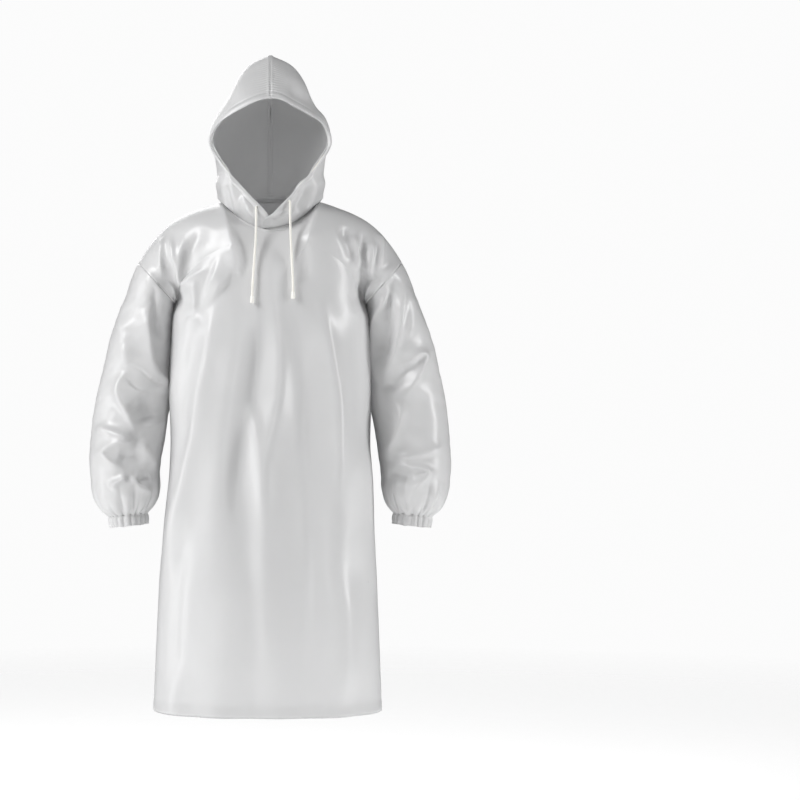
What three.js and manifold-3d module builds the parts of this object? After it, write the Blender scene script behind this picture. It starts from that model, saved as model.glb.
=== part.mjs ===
// Hooded protective smock of translucent film: a knee-length pullover body, drop-shoulder
// sleeves gathered into elastic cuffs, and a pointed hood with a drawstring round the face.
// Millimetres. Origin at the base of the wearer's neck, +X the wearer's left, -Y the front, +Z up.

import * as THREE from "three";
import { mergeVertices } from "three/addons/utils/BufferGeometryUtils.js";
import Module from "manifold-3d";

const wasm = await Module();
wasm.setup();

// ---------------------------------------------------------------- driving dimensions

// Sheet and seams
const WALL = 1.2; // body film, with the loft of its small creases
const SEAM_GAP = 0.3; // between two pieces that are seamed together
const SEAM_MITRE = 0.6; // how far the neck joint slopes, as a share of the wall
const TAPE_WIDTH = 12;
const TAPE_THICKNESS = 0.8;
const TAPE_GAP = 1; // between a tape and the film that it covers
const CURVED_TAPE_GAP = 2.4; // the same where the film curves both ways
const TAPE_CLEARANCE = 5; // between the ends of two tapes

// Body
const HEM_Z = -1086;
const HEM_HALF_WIDTH = 240;
const HEM_FRONT_DEPTH = 165;
const HEM_BACK_DEPTH = 160;
const HEM_TURN = 24;
const CHEST_HALF_WIDTH = 204;
const CHEST_FRONT_DEPTH = 150;
const CHEST_BACK_DEPTH = 142;
const SHOULDER_ROUNDING = 112; // height over which the body rounds over to the shoulder seam
const BODY_SQUARENESS = 2.4; // exponent of the body's rounded section
const SIDE_SEAM_CURVE = 1.15; // exponent of the side seam's run in from the hem
const SHOULDER_FULLNESS = 0.5; // exponent of the rounding at the shoulder seam
const NECK_FULLNESS = 0.85; // the same above the middle of the neck

// Armhole: a plane ring between the shoulder tip and the armpit
const SHOULDER_TIP_X = 283;
const SHOULDER_TIP_Z = -129;
const ARMPIT_Z = -215;
const ARMHOLE_HALF_DEPTH = 85;
const SHOULDER_SLOPE = 50; // fall of the shoulder seam that is straight
const SHOULDER_CURVE = 3.3; // exponent of the rest of its fall

// Neck ring
const NECK_HALF_WIDTH = 107;
const NECK_FRONT_DEPTH = 104;
const NECK_BACK_DEPTH = 80;
const NECK_FRONT_DROP = 64;
const NECK_BACK_RISE = 16;

// Sleeve
const SLEEVE_DROP = 496; // from the middle of the armhole to the cuff seam
const SLEEVE_SPREAD = 68; // how far the lower arm stands out from the armhole
const SLEEVE_BACK = 22;
const WRIST_FORWARD = 14;
const ELBOW_HALF_WIDTH = 82;
const ELBOW_HALF_DEPTH = 80;
const FOREARM_HALF_WIDTH = 74;
const WRIST_TILT = THREE.MathUtils.degToRad(6);
const ELBOW_SHARE = 0.5; // where the elbow is, as a share of the way down to the cuff
const GATHER_SHARE = 0.85; // where the sleeve begins to draw in to its cuff
const GATHER_CURVE = 2.6; // exponent of that drawing in
const UPRIGHT_SHARE = 0.45; // where the armhole's slope has run out

// Cuff
const CUFF_RADIUS = 41;
const CUFF_HEIGHT = 24;
const ELASTIC_THICKNESS = 1.2;
const ELASTIC_HEIGHT = 17;
const ELASTIC_CLEARANCE = 0.5;

// Hood
const HOOD_PEAK_Z = 318;
const HOOD_BACK_DEPTH = 125;
const HOOD_NECK_FULLNESS = 16;
const HOOD_CROWN_FULLNESS = 34; // how far the crown rounds out beside its seam
const HOOD_NECK_CURVE = 1.2; // exponent of how soon the hood leaves the neck ring's width
const HOOD_CROWN_REACH = 0.115; // where it is fullest, as a share of the way down to the neck
const BROW = new THREE.Vector3(0, -118, 210);
const THROAT = new THREE.Vector3(1, -124, -41);
const CHEEK = new THREE.Vector3(128, -85, 120);
const CROWN_REAR = new THREE.Vector3(0, 60, 300);

// Drawstring
const CORD_DIAMETER = 5;
const CASING_WIDTH = 20;
const CASING_THICKNESS = 1;
const CORD_CLEARANCE = 1.9; // round the cord in its casing
const EXIT_INSET = 13; // from the rim to the middle of the exit hole
const EXIT_DIAMETER = 7.4;
const EXIT_X = { left: 39, right: 28 };
const END_RADIUS = 4.3;
const END_LENGTH = 15;
const END_SOCKET = 9;

// Numbers of faces
const NECK_STEPS = 6; // per quarter of the neck ring
const ARMHOLE_STEPS = 6; // per half of the armhole
const SLEEVE_SIDES = 20;
const CUFF_SIDES = 24;
const CORD_SIDES = 8;

// ---------------------------------------------------------------- small helpers

const vec = (x, y, z) => new THREE.Vector3(x, y, z);
const lerp = THREE.MathUtils.lerp;
const steps = (count, from = 0, to = 1) =>
  Array.from({ length: count + 1 }, (_, i) => lerp(from, to, i / count));
const mirrored = (p) => vec(-p.x, p.y, p.z);

function without(vector, unit) {
  return vector.clone().addScaledVector(unit, -vector.dot(unit)).normalize();
}

// The root of a rising function between two values, by halving.
function solve(rising, target, low, high) {
  for (let i = 0; i < 40; i += 1) {
    const middle = (low + high) / 2;
    if (rising(middle) < target) low = middle;
    else high = middle;
  }
  return (low + high) / 2;
}

// The average normal at each point of a grid; a round grid repeats its first column at the end.
function gridNormals(grid, round) {
  const rows = grid.length;
  const columns = grid[0].length;
  const normals = grid.map((row) => row.map(() => vec(0, 0, 0)));
  for (let r = 0; r < rows - 1; r += 1) {
    for (let c = 0; c < columns - 1; c += 1) {
      const across = grid[r + 1][c + 1].clone().sub(grid[r][c]);
      const along = grid[r + 1][c].clone().sub(grid[r][c + 1]);
      const normal = across.cross(along);
      for (const [i, j] of [[r, c], [r, c + 1], [r + 1, c], [r + 1, c + 1]]) normals[i][j].add(normal);
    }
  }
  if (round) {
    for (const row of normals) {
      row[0].add(row[columns - 1]);
      row[columns - 1].copy(row[0]);
    }
  }
  return normals.map((row) => row.map((n) => n.normalize()));
}

// A faceted sheet over two lists of parameters. `inwards` says which way the inside is at a
// point, and `edge` turns the wall's direction where the sheet ends in a seam plane.
function makeSheet({ us, vs, at, inwards, edge = (inward) => inward, round = false }) {
  const points = vs.map((v) => us.map((u) => at(u, v)));
  const inward = gridNormals(points, round).map((row, r) =>
    row.map((normal, c) => {
      const facing = normal.dot(inwards(points[r][c])) < 0 ? normal.clone().negate() : normal;
      return edge(facing, us[c], vs[r]);
    }),
  );
  const cell = (values, value) => {
    const found = values.findIndex((limit, i) => i > 0 && value <= limit);
    const i = found < 0 ? values.length - 2 : found - 1;
    return [i, (value - values[i]) / (values[i + 1] - values[i])];
  };
  const mix = (grid, r, c, s, t) => {
    const start = grid[r][c].clone();
    const far = grid[r + 1][c + 1];
    if (s >= t) {
      const corner = grid[r][c + 1];
      return start
        .addScaledVector(corner.clone().sub(grid[r][c]), s)
        .addScaledVector(far.clone().sub(corner), t);
    }
    const corner = grid[r + 1][c];
    return start
      .addScaledVector(corner.clone().sub(grid[r][c]), t)
      .addScaledVector(far.clone().sub(corner), s);
  };
  // The point at a depth under the outer face.
  const sample = (u, v, depth = 0) => {
    const [c, s] = cell(us, u);
    const [r, t] = cell(vs, v);
    return mix(points, r, c, s, t).addScaledVector(mix(inward, r, c, s, t), depth);
  };
  return { us, vs, points, inward, sample, round };
}

// A closed wall between an outer and an inner grid of points.
function wallGeometry(outer, inner, round = false) {
  const rows = outer.length;
  const columns = outer[0].length;
  const across = round ? columns : columns - 1;
  const at = (side, r, c) => side * rows * columns + r * columns + (c % columns);
  const faces = [];
  const quad = (a, b, c, d) => faces.push([a, b, c], [a, c, d]);
  for (let r = 0; r < rows - 1; r += 1) {
    for (let c = 0; c < across; c += 1) {
      quad(at(0, r, c), at(0, r, c + 1), at(0, r + 1, c + 1), at(0, r + 1, c));
      quad(at(1, r + 1, c + 1), at(1, r, c + 1), at(1, r, c), at(1, r + 1, c));
    }
  }
  const last = rows - 1;
  for (let c = 0; c < across; c += 1) {
    quad(at(0, 0, c), at(1, 0, c), at(1, 0, c + 1), at(0, 0, c + 1));
    quad(at(0, last, c), at(0, last, c + 1), at(1, last, c + 1), at(1, last, c));
  }
  if (!round) {
    const end = columns - 1;
    for (let r = 0; r < last; r += 1) {
      quad(at(0, r, 0), at(0, r + 1, 0), at(1, r + 1, 0), at(1, r, 0));
      quad(at(0, r, end), at(1, r, end), at(1, r + 1, end), at(0, r + 1, end));
    }
  }
  return facingOut([...outer.flat(), ...inner.flat()], faces);
}

// A geometry from points and faces, turned round if its faces point in.
function facingOut(points, faces) {
  let volume = 0;
  for (const [a, b, c] of faces) volume += points[a].dot(points[b].clone().cross(points[c]));
  const turned = volume < 0 ? faces.map(([a, b, c]) => [a, c, b]) : faces;
  const geometry = new THREE.BufferGeometry();
  geometry.setAttribute(
    "position",
    new THREE.Float32BufferAttribute(points.flatMap((p) => [p.x, p.y, p.z]), 3),
  );
  geometry.setIndex(turned.flat());
  return geometry;
}

// The wall of a whole sheet.
function sheetGeometry(sheet, side = 1, depth = 0, thickness = WALL) {
  const turn = (p) => (side < 0 ? mirrored(p) : p);
  const face = (d) =>
    sheet.points.map((row, r) => {
      const points = row.map((p, c) => turn(p.clone().addScaledVector(sheet.inward[r][c], d)));
      return sheet.round ? points.slice(0, -1) : points;
    });
  return wallGeometry(face(depth), face(depth + thickness), sheet.round);
}

// A thin strip under a sheet: `lines` are rows of functions from depth to a point.
function stripGeometry(lines, side = 1, depth = WALL + TAPE_GAP, thickness = TAPE_THICKNESS, round = false) {
  const face = (d) => lines.map((row) => row.map((at) => (side < 0 ? mirrored(at(d)) : at(d))));
  return wallGeometry(face(depth), face(depth + thickness), round);
}

// How far a parameter goes for a distance measured along the faceted sheet.
function parameterAt(place, from, towards, distance) {
  const sign = Math.sign(towards - from);
  const STEP = 0.0005;
  let value = from;
  let travelled = 0;
  let here = place(value);
  while (travelled < distance && (towards - value) * sign > 0) {
    value += sign * STEP;
    const next = place(value);
    travelled += next.distanceTo(here);
    here = next;
  }
  return value;
}

function toManifold(geometry) {
  const bare = geometry.index ? geometry.toNonIndexed() : geometry.clone();
  for (const name of ["normal", "uv"]) bare.deleteAttribute(name);
  const merged = mergeVertices(bare, 1e-3);
  return new wasm.Manifold(
    new wasm.Mesh({
      numProp: 3,
      vertProperties: merged.attributes.position.array,
      triVerts: new Uint32Array(merged.index.array),
    }),
  );
}

function cut(geometry, ...tools) {
  const made = tools.reduce((solid, tool) => solid.subtract(toManifold(tool)), toManifold(geometry));
  const mesh = made.getMesh();
  const result = new THREE.BufferGeometry();
  result.setAttribute("position", new THREE.Float32BufferAttribute(Array.from(mesh.vertProperties), 3));
  result.setIndex(Array.from(mesh.triVerts));
  return result;
}

// ---------------------------------------------------------------- body

const ARMHOLE = (() => {
  const low = vec(CHEST_HALF_WIDTH, 0, ARMPIT_Z);
  const high = vec(SHOULDER_TIP_X, 0, SHOULDER_TIP_Z);
  const along = high.clone().sub(low).normalize();
  return {
    centre: low.clone().add(high).multiplyScalar(0.5),
    along,
    normal: vec(along.z, 0, -along.x),
    half: high.distanceTo(low) / 2,
    tilt: Math.atan2(along.z, along.x),
  };
})();

const NECK_U = NECK_HALF_WIDTH / SHOULDER_TIP_X;
const ARMPIT_V = (ARMPIT_Z - HEM_Z) / (SHOULDER_TIP_Z - HEM_Z);
const HEM_TURN_V = HEM_TURN / (SHOULDER_TIP_Z - HEM_Z);

// The neck ring, from the front (0) round the wearer's left to the nape (pi).
function neckPoint(angle) {
  const front = Math.cos(angle) >= 0;
  const depth = front ? NECK_FRONT_DEPTH : NECK_BACK_DEPTH;
  const rise = front ? -NECK_FRONT_DROP : NECK_BACK_RISE;
  return vec(
    NECK_HALF_WIDTH * Math.sin(angle),
    -depth * Math.cos(angle),
    rise * Math.cos(angle) ** 2,
  );
}

// The direction of the wall in the neck joint, the same for the hood and the body.
function neckMitre(angle) {
  const depth = Math.cos(angle) >= 0 ? NECK_FRONT_DEPTH : NECK_BACK_DEPTH;
  const out = vec(Math.sin(angle) / NECK_HALF_WIDTH, -Math.cos(angle) / depth, 0).normalize();
  return out.multiplyScalar(-1).setZ(-SEAM_MITRE);
}

function shoulderHeight(x) {
  const share = (x - NECK_HALF_WIDTH) / (SHOULDER_TIP_X - NECK_HALF_WIDTH);
  const curved = -SHOULDER_TIP_Z - SHOULDER_SLOPE;
  return -SHOULDER_SLOPE * share - curved * share ** SHOULDER_CURVE;
}

// Half a body panel's side edge: the side seam, then half the armhole.
function sideEdge(v) {
  if (v <= ARMPIT_V) {
    const share = v / ARMPIT_V;
    const halfWidth = lerp(HEM_HALF_WIDTH, CHEST_HALF_WIDTH, 1 - (1 - share) ** SIDE_SEAM_CURVE);
    return { x: halfWidth, z: lerp(HEM_Z, ARMPIT_Z, share), depth: 0 };
  }
  const angle = (Math.PI * (v - ARMPIT_V)) / (1 - ARMPIT_V);
  const along = -ARMHOLE.half * Math.cos(angle);
  return {
    x: ARMHOLE.centre.x + along * ARMHOLE.along.x,
    z: ARMHOLE.centre.z + along * ARMHOLE.along.z,
    depth: ARMHOLE_HALF_DEPTH * Math.sin(angle),
  };
}

// A body panel, front (-1) or back (+1), over u from side to side and v from hem to top.
function bodyPoint(facing, u, v) {
  const size = Math.abs(u);
  const edge = sideEdge(v);
  const topX = size * SHOULDER_TIP_X;
  const onNeck = topX < NECK_HALF_WIDTH;
  const angle = Math.asin(Math.min(1, topX / NECK_HALF_WIDTH));
  const neck = neckPoint(facing < 0 ? angle : Math.PI - angle);
  const topZ = onNeck ? neck.z : shoulderHeight(topX);
  const topDepth = onNeck ? Math.abs(neck.y) : 0;
  const z = lerp(HEM_Z, topZ, (edge.z - HEM_Z) / (SHOULDER_TIP_Z - HEM_Z));

  const low = (ARMPIT_Z - z) / (ARMPIT_Z - HEM_Z);
  const fullDepth =
    facing < 0
      ? lerp(CHEST_FRONT_DEPTH, HEM_FRONT_DEPTH, Math.max(0, low))
      : lerp(CHEST_BACK_DEPTH, HEM_BACK_DEPTH, Math.max(0, low));
  const section = (1 - size ** BODY_SQUARENESS) ** (1 / BODY_SQUARENESS);
  const fall = Math.min(1, (topZ - z) / SHOULDER_ROUNDING);
  const soften = lerp(NECK_FULLNESS, SHOULDER_FULLNESS, Math.min(1, topX / NECK_HALF_WIDTH) ** 3);
  const rounding = (1 - (1 - fall) ** 2) ** soften;
  const depth = lerp(topDepth, fullDepth * section, rounding);
  const bulge = edge.depth * size ** 3;
  const total = Math.max(Math.cbrt(depth ** 3 + bulge ** 3), SEAM_GAP / 2);
  return vec(u * edge.x, facing * total, z);
}

function bodySheet(facing) {
  const neckUs = steps(NECK_STEPS, 0, Math.PI / 2).map((a) => NECK_U * Math.sin(a));
  const outerUs = [0.2, 0.42, 0.63, 0.8, 0.92, 1].map((share) => lerp(NECK_U, 1, share));
  const half = [...neckUs, ...outerUs];
  const us = [...half.slice(1).reverse().map((u) => -u), ...half];
  const armholeVs = steps(ARMHOLE_STEPS, ARMPIT_V, 1).slice(1);
  const sideVs = [0.18, 0.36, 0.54, 0.7, 0.83, 0.93, 1].map((share) => ARMPIT_V * share);
  const vs = [0, HEM_TURN_V, ...sideVs, ...armholeVs];
  const NEAR = 1e-6;

  const edge = (inward, u, v) => {
    const atSide = Math.abs(u) > 1 - NEAR;
    const atTop = v > 1 - NEAR;
    if (atTop && Math.abs(u) < NECK_U + NEAR) {
      const angle = Math.asin(Math.max(-1, Math.min(1, u / NECK_U)));
      return neckMitre(facing < 0 ? angle : Math.PI - angle);
    }
    let turned = inward;
    if (v < NEAR) turned = without(turned, vec(0, 0, 1));
    if (atSide && v > ARMPIT_V - NEAR) {
      const normal = ARMHOLE.normal.clone();
      turned = without(turned, u < 0 ? mirrored(normal) : normal);
    }
    if (atTop || (atSide && v < ARMPIT_V + NEAR)) turned = without(turned, vec(0, 1, 0));
    return turned;
  };
  return makeSheet({
    us,
    vs,
    at: (u, v) => bodyPoint(facing, u, v),
    inwards: (p) => vec(0, 0, Math.min(p.z, ARMPIT_Z)).sub(p),
    edge,
  });
}

const FRONT = bodySheet(-1);
const BACK = bodySheet(1);

// The turned hem inside a panel.
function hemFacing(panel) {
  const rows = [0, HEM_TURN_V].map((v) => panel.us.map((u) => (d) => panel.sample(u, v, d)));
  return stripGeometry(rows, 1, WALL + SEAM_GAP, WALL);
}

// A tape over the seam between the front and the back, at the wearer's left.
function sideTape(side) {
  const above = (HEM_TURN + TAPE_CLEARANCE) / (SHOULDER_TIP_Z - HEM_Z);
  const below = (TAPE_WIDTH + 2 * TAPE_CLEARANCE) / (SHOULDER_TIP_Z - HEM_Z);
  const rows = steps(9, above, ARMPIT_V - below).map((v) => {
    const u = parameterAt((value) => FRONT.sample(value, v), 1, 0, TAPE_WIDTH / 2);
    const seam = (d) => FRONT.sample(1, v, d).setY(0);
    return [(d) => FRONT.sample(u, v, d), seam, (d) => BACK.sample(u, v, d)];
  });
  return stripGeometry(rows, side);
}

function shoulderTape(side) {
  const inset = (TAPE_WIDTH + TAPE_CLEARANCE + 3) / SHOULDER_TIP_X;
  const rows = steps(6, NECK_U + inset, 1 - inset).map((u) => {
    const v = parameterAt((value) => FRONT.sample(u, value), 1, 0, TAPE_WIDTH / 2);
    const seam = (d) => FRONT.sample(u, 1, d).setY(0);
    return [(d) => FRONT.sample(u, v, d), seam, (d) => BACK.sample(u, v, d)];
  });
  return stripGeometry(rows, side);
}

// A tape round the neck, just below the seam of the hood. It is found from above, by x and y.
function neckTape() {
  const under = (x, y) => {
    const facing = y < 0 ? -1 : 1;
    const panel = facing < 0 ? FRONT : BACK;
    const place = (v) => bodyPoint(facing, x / sideEdge(v).x, v);
    const TOP_PART = 0.85;
    const v = solve((value) => -Math.abs(place(value).y), -Math.abs(y), TOP_PART, 1);
    const u = x / sideEdge(v).x;
    return (d) => panel.sample(u, v, d);
  };
  const line = (distance) =>
    steps(6 * NECK_STEPS, 0, 2 * Math.PI)
      .slice(0, -1)
      .map((angle) => {
        const on = neckPoint(angle);
        const out = vec(Math.sin(angle), -Math.cos(angle), 0);
        const at = on.addScaledVector(out, distance);
        return under(at.x, at.y);
      });
  return stripGeometry([line(2), line(2 + TAPE_WIDTH)], 1, WALL + CURVED_TAPE_GAP, TAPE_THICKNESS, true);
}

// ---------------------------------------------------------------- sleeve

// The sleeve over t from armhole to cuff, as the half width, half depth, centre and tilt.
function sleeveSection(t) {
  const upper = Math.min(1, t / ELBOW_SHARE);
  const swell = upper * upper * (3 - 2 * upper);
  const lower = Math.max(0, Math.min(1, (t - ELBOW_SHARE) / (GATHER_SHARE - ELBOW_SHARE)));
  const close = Math.max(0, (t - GATHER_SHARE) / (1 - GATHER_SHARE)) ** GATHER_CURVE;
  const width = (start, middle, end) =>
    lerp(lerp(lerp(start, middle, swell), end, lower * lower), CUFF_RADIUS, close);
  const spread = new THREE.SplineCurve(
    [[0, 0], [0.1, 0.24], [0.26, 0.52], [0.5, 0.76], [0.8, 1], [1, 0.9]].map(([x, y]) => new THREE.Vector2(x, y)),
  );
  const out = spread.getPoint(solve((value) => spread.getPoint(value).x, t, 0, 1)).y;
  const turning = Math.max(0, 1 - t / UPRIGHT_SHARE) ** 1.5;
  return {
    half: width(ARMHOLE.half, ELBOW_HALF_WIDTH, FOREARM_HALF_WIDTH),
    depth: width(ARMHOLE_HALF_DEPTH, ELBOW_HALF_DEPTH, FOREARM_HALF_WIDTH),
    tilt: ARMHOLE.tilt * turning - WRIST_TILT * t ** 3,
    centre: vec(
      ARMHOLE.centre.x + ARMHOLE.normal.x * SEAM_GAP + SLEEVE_SPREAD * out,
      SLEEVE_BACK * Math.sin(Math.PI * t) - WRIST_FORWARD * t * t,
      ARMHOLE.centre.z + ARMHOLE.normal.z * SEAM_GAP - SLEEVE_DROP * t,
    ),
  };
}

function sleevePoint(turn, t) {
  const { half, depth, tilt, centre } = sleeveSection(t);
  const angle = 2 * Math.PI * turn;
  const along = half * Math.cos(angle);
  return vec(
    centre.x + along * Math.cos(tilt),
    centre.y + depth * Math.sin(angle),
    centre.z + along * Math.sin(tilt),
  );
}

const SLEEVE = makeSheet({
  us: steps(SLEEVE_SIDES),
  vs: [0, 0.05, 0.11, 0.19, 0.29, 0.41, 0.55, 0.69, 0.81, 0.89, 0.945, 0.98, 1],
  at: sleevePoint,
  inwards: (p) => {
    const t = Math.max(0, Math.min(1, (ARMHOLE.centre.z - p.z) / SLEEVE_DROP));
    return sleeveSection(t).centre.clone().sub(p);
  },
  edge: (inward, turn, t) => {
    if (t === 0) return without(inward, ARMHOLE.normal);
    if (t === 1) return without(inward, vec(Math.sin(WRIST_TILT), 0, Math.cos(WRIST_TILT)));
    return inward;
  },
  round: true,
});

// The tape over the armhole seam, on the top of the sleeve.
function armholeTape(side) {
  const longest = SLEEVE.sample(0, 0).distanceTo(SLEEVE.sample(0, SLEEVE.vs[1]));
  const share = SLEEVE.vs[1] / longest;
  const rows = [3 * share, (3 + TAPE_WIDTH) * share].map((t) =>
    SLEEVE.us.slice(0, -1).map((u) => (d) => SLEEVE.sample(u, t, d)),
  );
  return stripGeometry(rows, side, WALL + TAPE_GAP, TAPE_THICKNESS, true);
}

// The tape along the seam under the arm.
function underarmTape(side) {
  const quarterTape = TAPE_WIDTH / 4;
  const rows = steps(16, 0.06, 0.95).map((t) => {
    const u = parameterAt((value) => SLEEVE.sample(value, t), 0.5, 1, 2 * quarterTape);
    return [1 - u, 0.5, u].map((turn) => (d) => SLEEVE.sample(turn, t, d));
  });
  return stripGeometry(rows, side);
}

// ---------------------------------------------------------------- cuff, in its own frame: z = 0 at the sleeve

function ring(profile) {
  const points = profile.map(([r, z]) => new THREE.Vector2(r, z));
  return new THREE.LatheGeometry([...points, points[0]], CUFF_SIDES).rotateX(Math.PI / 2);
}

// The casing: the film turned up inside, open at its top edge where the elastic goes in.
function cuffCasing() {
  const channel = ELASTIC_THICKNESS + 2 * ELASTIC_CLEARANCE;
  const outer = CUFF_RADIUS;
  const lining = outer - WALL - channel;
  const top = -SEAM_GAP;
  const lip = top - 4;
  const bottom = top - CUFF_HEIGHT;
  return ring([
    [outer, top],
    [outer - WALL, top],
    [outer - WALL, bottom + WALL],
    [lining, bottom + WALL],
    [lining, lip],
    [lining - WALL, lip],
    [lining - WALL, bottom],
    [outer, bottom],
  ]);
}

function cuffElastic() {
  const outer = CUFF_RADIUS - WALL - ELASTIC_CLEARANCE;
  const bottom = -SEAM_GAP - CUFF_HEIGHT + WALL + ELASTIC_CLEARANCE;
  return ring([
    [outer, bottom],
    [outer, bottom + ELASTIC_HEIGHT],
    [outer - ELASTIC_THICKNESS, bottom + ELASTIC_HEIGHT],
    [outer - ELASTIC_THICKNESS, bottom],
  ]);
}

// ---------------------------------------------------------------- hood

const neckFront = neckPoint(0);
const neckBack = neckPoint(Math.PI);

// The rim of the face opening, the wearer's left half of a curve that is the same on both sides.
const RIM = (() => {
  const half = [
    vec(0, neckFront.y, neckFront.z),
    THROAT,
    vec(48, -114, 13),
    vec(103, -95, 76),
    CHEEK,
    vec(112, -91, 157),
    vec(66, -106, 186),
  ];
  const other = half.map(mirrored).reverse();
  return new THREE.CatmullRomCurve3([...half, BROW, ...other], false, "centripetal");
})();
RIM.arcLengthDivisions = 600;

const CROWN_SEAM = new THREE.CatmullRomCurve3([
  BROW,
  vec(0, lerp(BROW.y, 0, 0.5), lerp(BROW.z, HOOD_PEAK_Z, 0.6)),
  vec(0, 0, HOOD_PEAK_Z),
  CROWN_REAR,
]);
const BACK_SEAM = new THREE.CatmullRomCurve3([
  vec(0, neckBack.y, neckBack.z),
  vec(0, lerp(neckBack.y, HOOD_BACK_DEPTH, 0.45), lerp(neckBack.z, CROWN_REAR.z, 0.12)),
  vec(0, HOOD_BACK_DEPTH, lerp(neckBack.z, CROWN_REAR.z, 0.5)),
  vec(0, lerp(HOOD_BACK_DEPTH, CROWN_REAR.y, 0.35), lerp(neckBack.z, CROWN_REAR.z, 0.8)),
  CROWN_REAR,
]);

// Half the hood, over u from the rim to the back seam and v from the neck to the crown seam.
function hoodPoint(u, v) {
  const low = neckPoint(Math.PI * u);
  const high = CROWN_SEAM.getPointAt(u);
  const rim = RIM.getPointAt(v / 2);
  const back = BACK_SEAM.getPointAt(v);
  const p = vec(0, 0, 0)
    .addScaledVector(low, 1 - v)
    .addScaledVector(high, v)
    .addScaledVector(rim, 1 - u)
    .addScaledVector(back, u)
    .addScaledVector(neckFront, -(1 - u) * (1 - v))
    .addScaledVector(BROW, -(1 - u) * v)
    .addScaledVector(neckBack, -u * (1 - v))
    .addScaledVector(CROWN_REAR, -u * v);
  const arch = Math.sin(Math.PI * u);
  const aboveNeck = (256 / 27) * v * (1 - v) ** 3;
  const reach = (1 - v) / HOOD_CROWN_REACH;
  const underCrown = reach * Math.exp((1 - reach * reach) / 2);
  p.x += low.x * ((1 - v) ** HOOD_NECK_CURVE - (1 - v));
  p.x += HOOD_NECK_FULLNESS * arch * aboveNeck;
  p.x += HOOD_CROWN_FULLNESS * arch ** 0.7 * underCrown;
  p.x = Math.max(p.x, SEAM_GAP / 2);
  p.z += SEAM_GAP * (1 - v);
  return p;
}

const THROAT_V = 0.08;

const HOOD = makeSheet({
  us: steps(2 * NECK_STEPS),
  vs: [
    0, 0.04, THROAT_V, 0.12, 0.17, 0.23, 0.29, 0.35, 0.41, 0.47,
    0.53, 0.59, 0.65, 0.71, 0.77, 0.83, 0.89, 0.94, 0.975, 1,
  ],
  at: hoodPoint,
  inwards: (p) => vec(0, 0, Math.min(p.z, 140)).sub(p),
  edge: (inward, u, v) => {
    if (v === 0) return neckMitre(Math.PI * u);
    if (v === 1 || u === 1 || (u === 0 && v < THROAT_V)) return without(inward, vec(1, 0, 0));
    return inward;
  },
});

const rimInset = (v, distance) => parameterAt((u) => HOOD.sample(u, v), 0, 1, distance);

// The facing that makes the drawstring's tunnel along the rim.
function hoodCasing(side) {
  const tunnel = CORD_DIAMETER + 2 * CORD_CLEARANCE - SEAM_GAP;
  const arch = (share) => 2 * SEAM_GAP + tunnel * Math.sin(Math.PI * share) ** 0.7;
  const rows = [0.02, ...HOOD.vs.slice(1)].map((v) =>
    steps(4).map((share) => {
      const u = rimInset(v, share * CASING_WIDTH);
      return (d) => HOOD.sample(u, v, d + arch(share));
    }),
  );
  return stripGeometry(rows, side, WALL, CASING_THICKNESS);
}

// Where the drawstring comes out of the casing.
function exitPlace(side) {
  const x = side > 0 ? EXIT_X.left : EXIT_X.right;
  const at = (v) => HOOD.sample(rimInset(v, EXIT_INSET), v);
  const v = solve((value) => at(value).x, x, THROAT_V, 0.35);
  const outer = at(v);
  const inner = HOOD.sample(rimInset(v, EXIT_INSET), v, 1);
  return { v, outer, inward: inner.sub(outer).normalize() };
}

function hoodPanel(side) {
  const { outer, inward } = exitPlace(side);
  const hole = new THREE.CylinderGeometry(EXIT_DIAMETER / 2, EXIT_DIAMETER / 2, 6 * WALL, 16);
  hole.applyQuaternion(new THREE.Quaternion().setFromUnitVectors(vec(0, 1, 0), inward));
  hole.translate(outer.x, outer.y, outer.z);
  const panel = cut(sheetGeometry(HOOD), hole);
  return side < 0 ? mirrorGeometry(panel) : panel;
}

function mirrorGeometry(geometry) {
  const position = geometry.getAttribute("position");
  const points = Array.from({ length: position.count }, (_, i) =>
    mirrored(new THREE.Vector3().fromBufferAttribute(position, i)),
  );
  const index = Array.from(geometry.index.array);
  const faces = Array.from({ length: index.length / 3 }, (_, i) => index.slice(3 * i, 3 * i + 3));
  return facingOut(points, faces);
}

// The tape along the hood's centre seam, over the crown and down the back.
function hoodTape() {
  const half = TAPE_WIDTH / 2;
  const start = rimInset(1, CASING_WIDTH + TAPE_CLEARANCE);
  const seam = (u, v) => (d) => HOOD.sample(u, v, d).setX(0);
  const crown = steps(8, start, 0.95).map((u) => {
    const v = parameterAt((value) => HOOD.sample(u, value), 1, 0, half);
    return [seam(u, 1), (d) => HOOD.sample(u, v, d)];
  });
  const down = steps(12, 0.95, 0.05).map((v) => {
    const u = parameterAt((value) => HOOD.sample(value, v), 1, 0, half);
    return [seam(1, v), (d) => HOOD.sample(u, v, d)];
  });
  const rows = [...crown, ...down].map(([middle, left]) => [left, middle, (d) => mirrored(left(d))]);
  return stripGeometry(rows);
}

// ---------------------------------------------------------------- drawstring

function cordSection() {
  const circle = new THREE.Shape();
  circle.absarc(0, 0, CORD_DIAMETER / 2, 0, 2 * Math.PI);
  return new THREE.Shape(circle.getSpacedPoints(CORD_SIDES).slice(0, -1));
}

function cord(points, count) {
  const curve = new THREE.CatmullRomCurve3(points, false, "centripetal");
  return new THREE.ExtrudeGeometry(cordSection(), { extrudePath: curve, steps: count });
}

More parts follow.
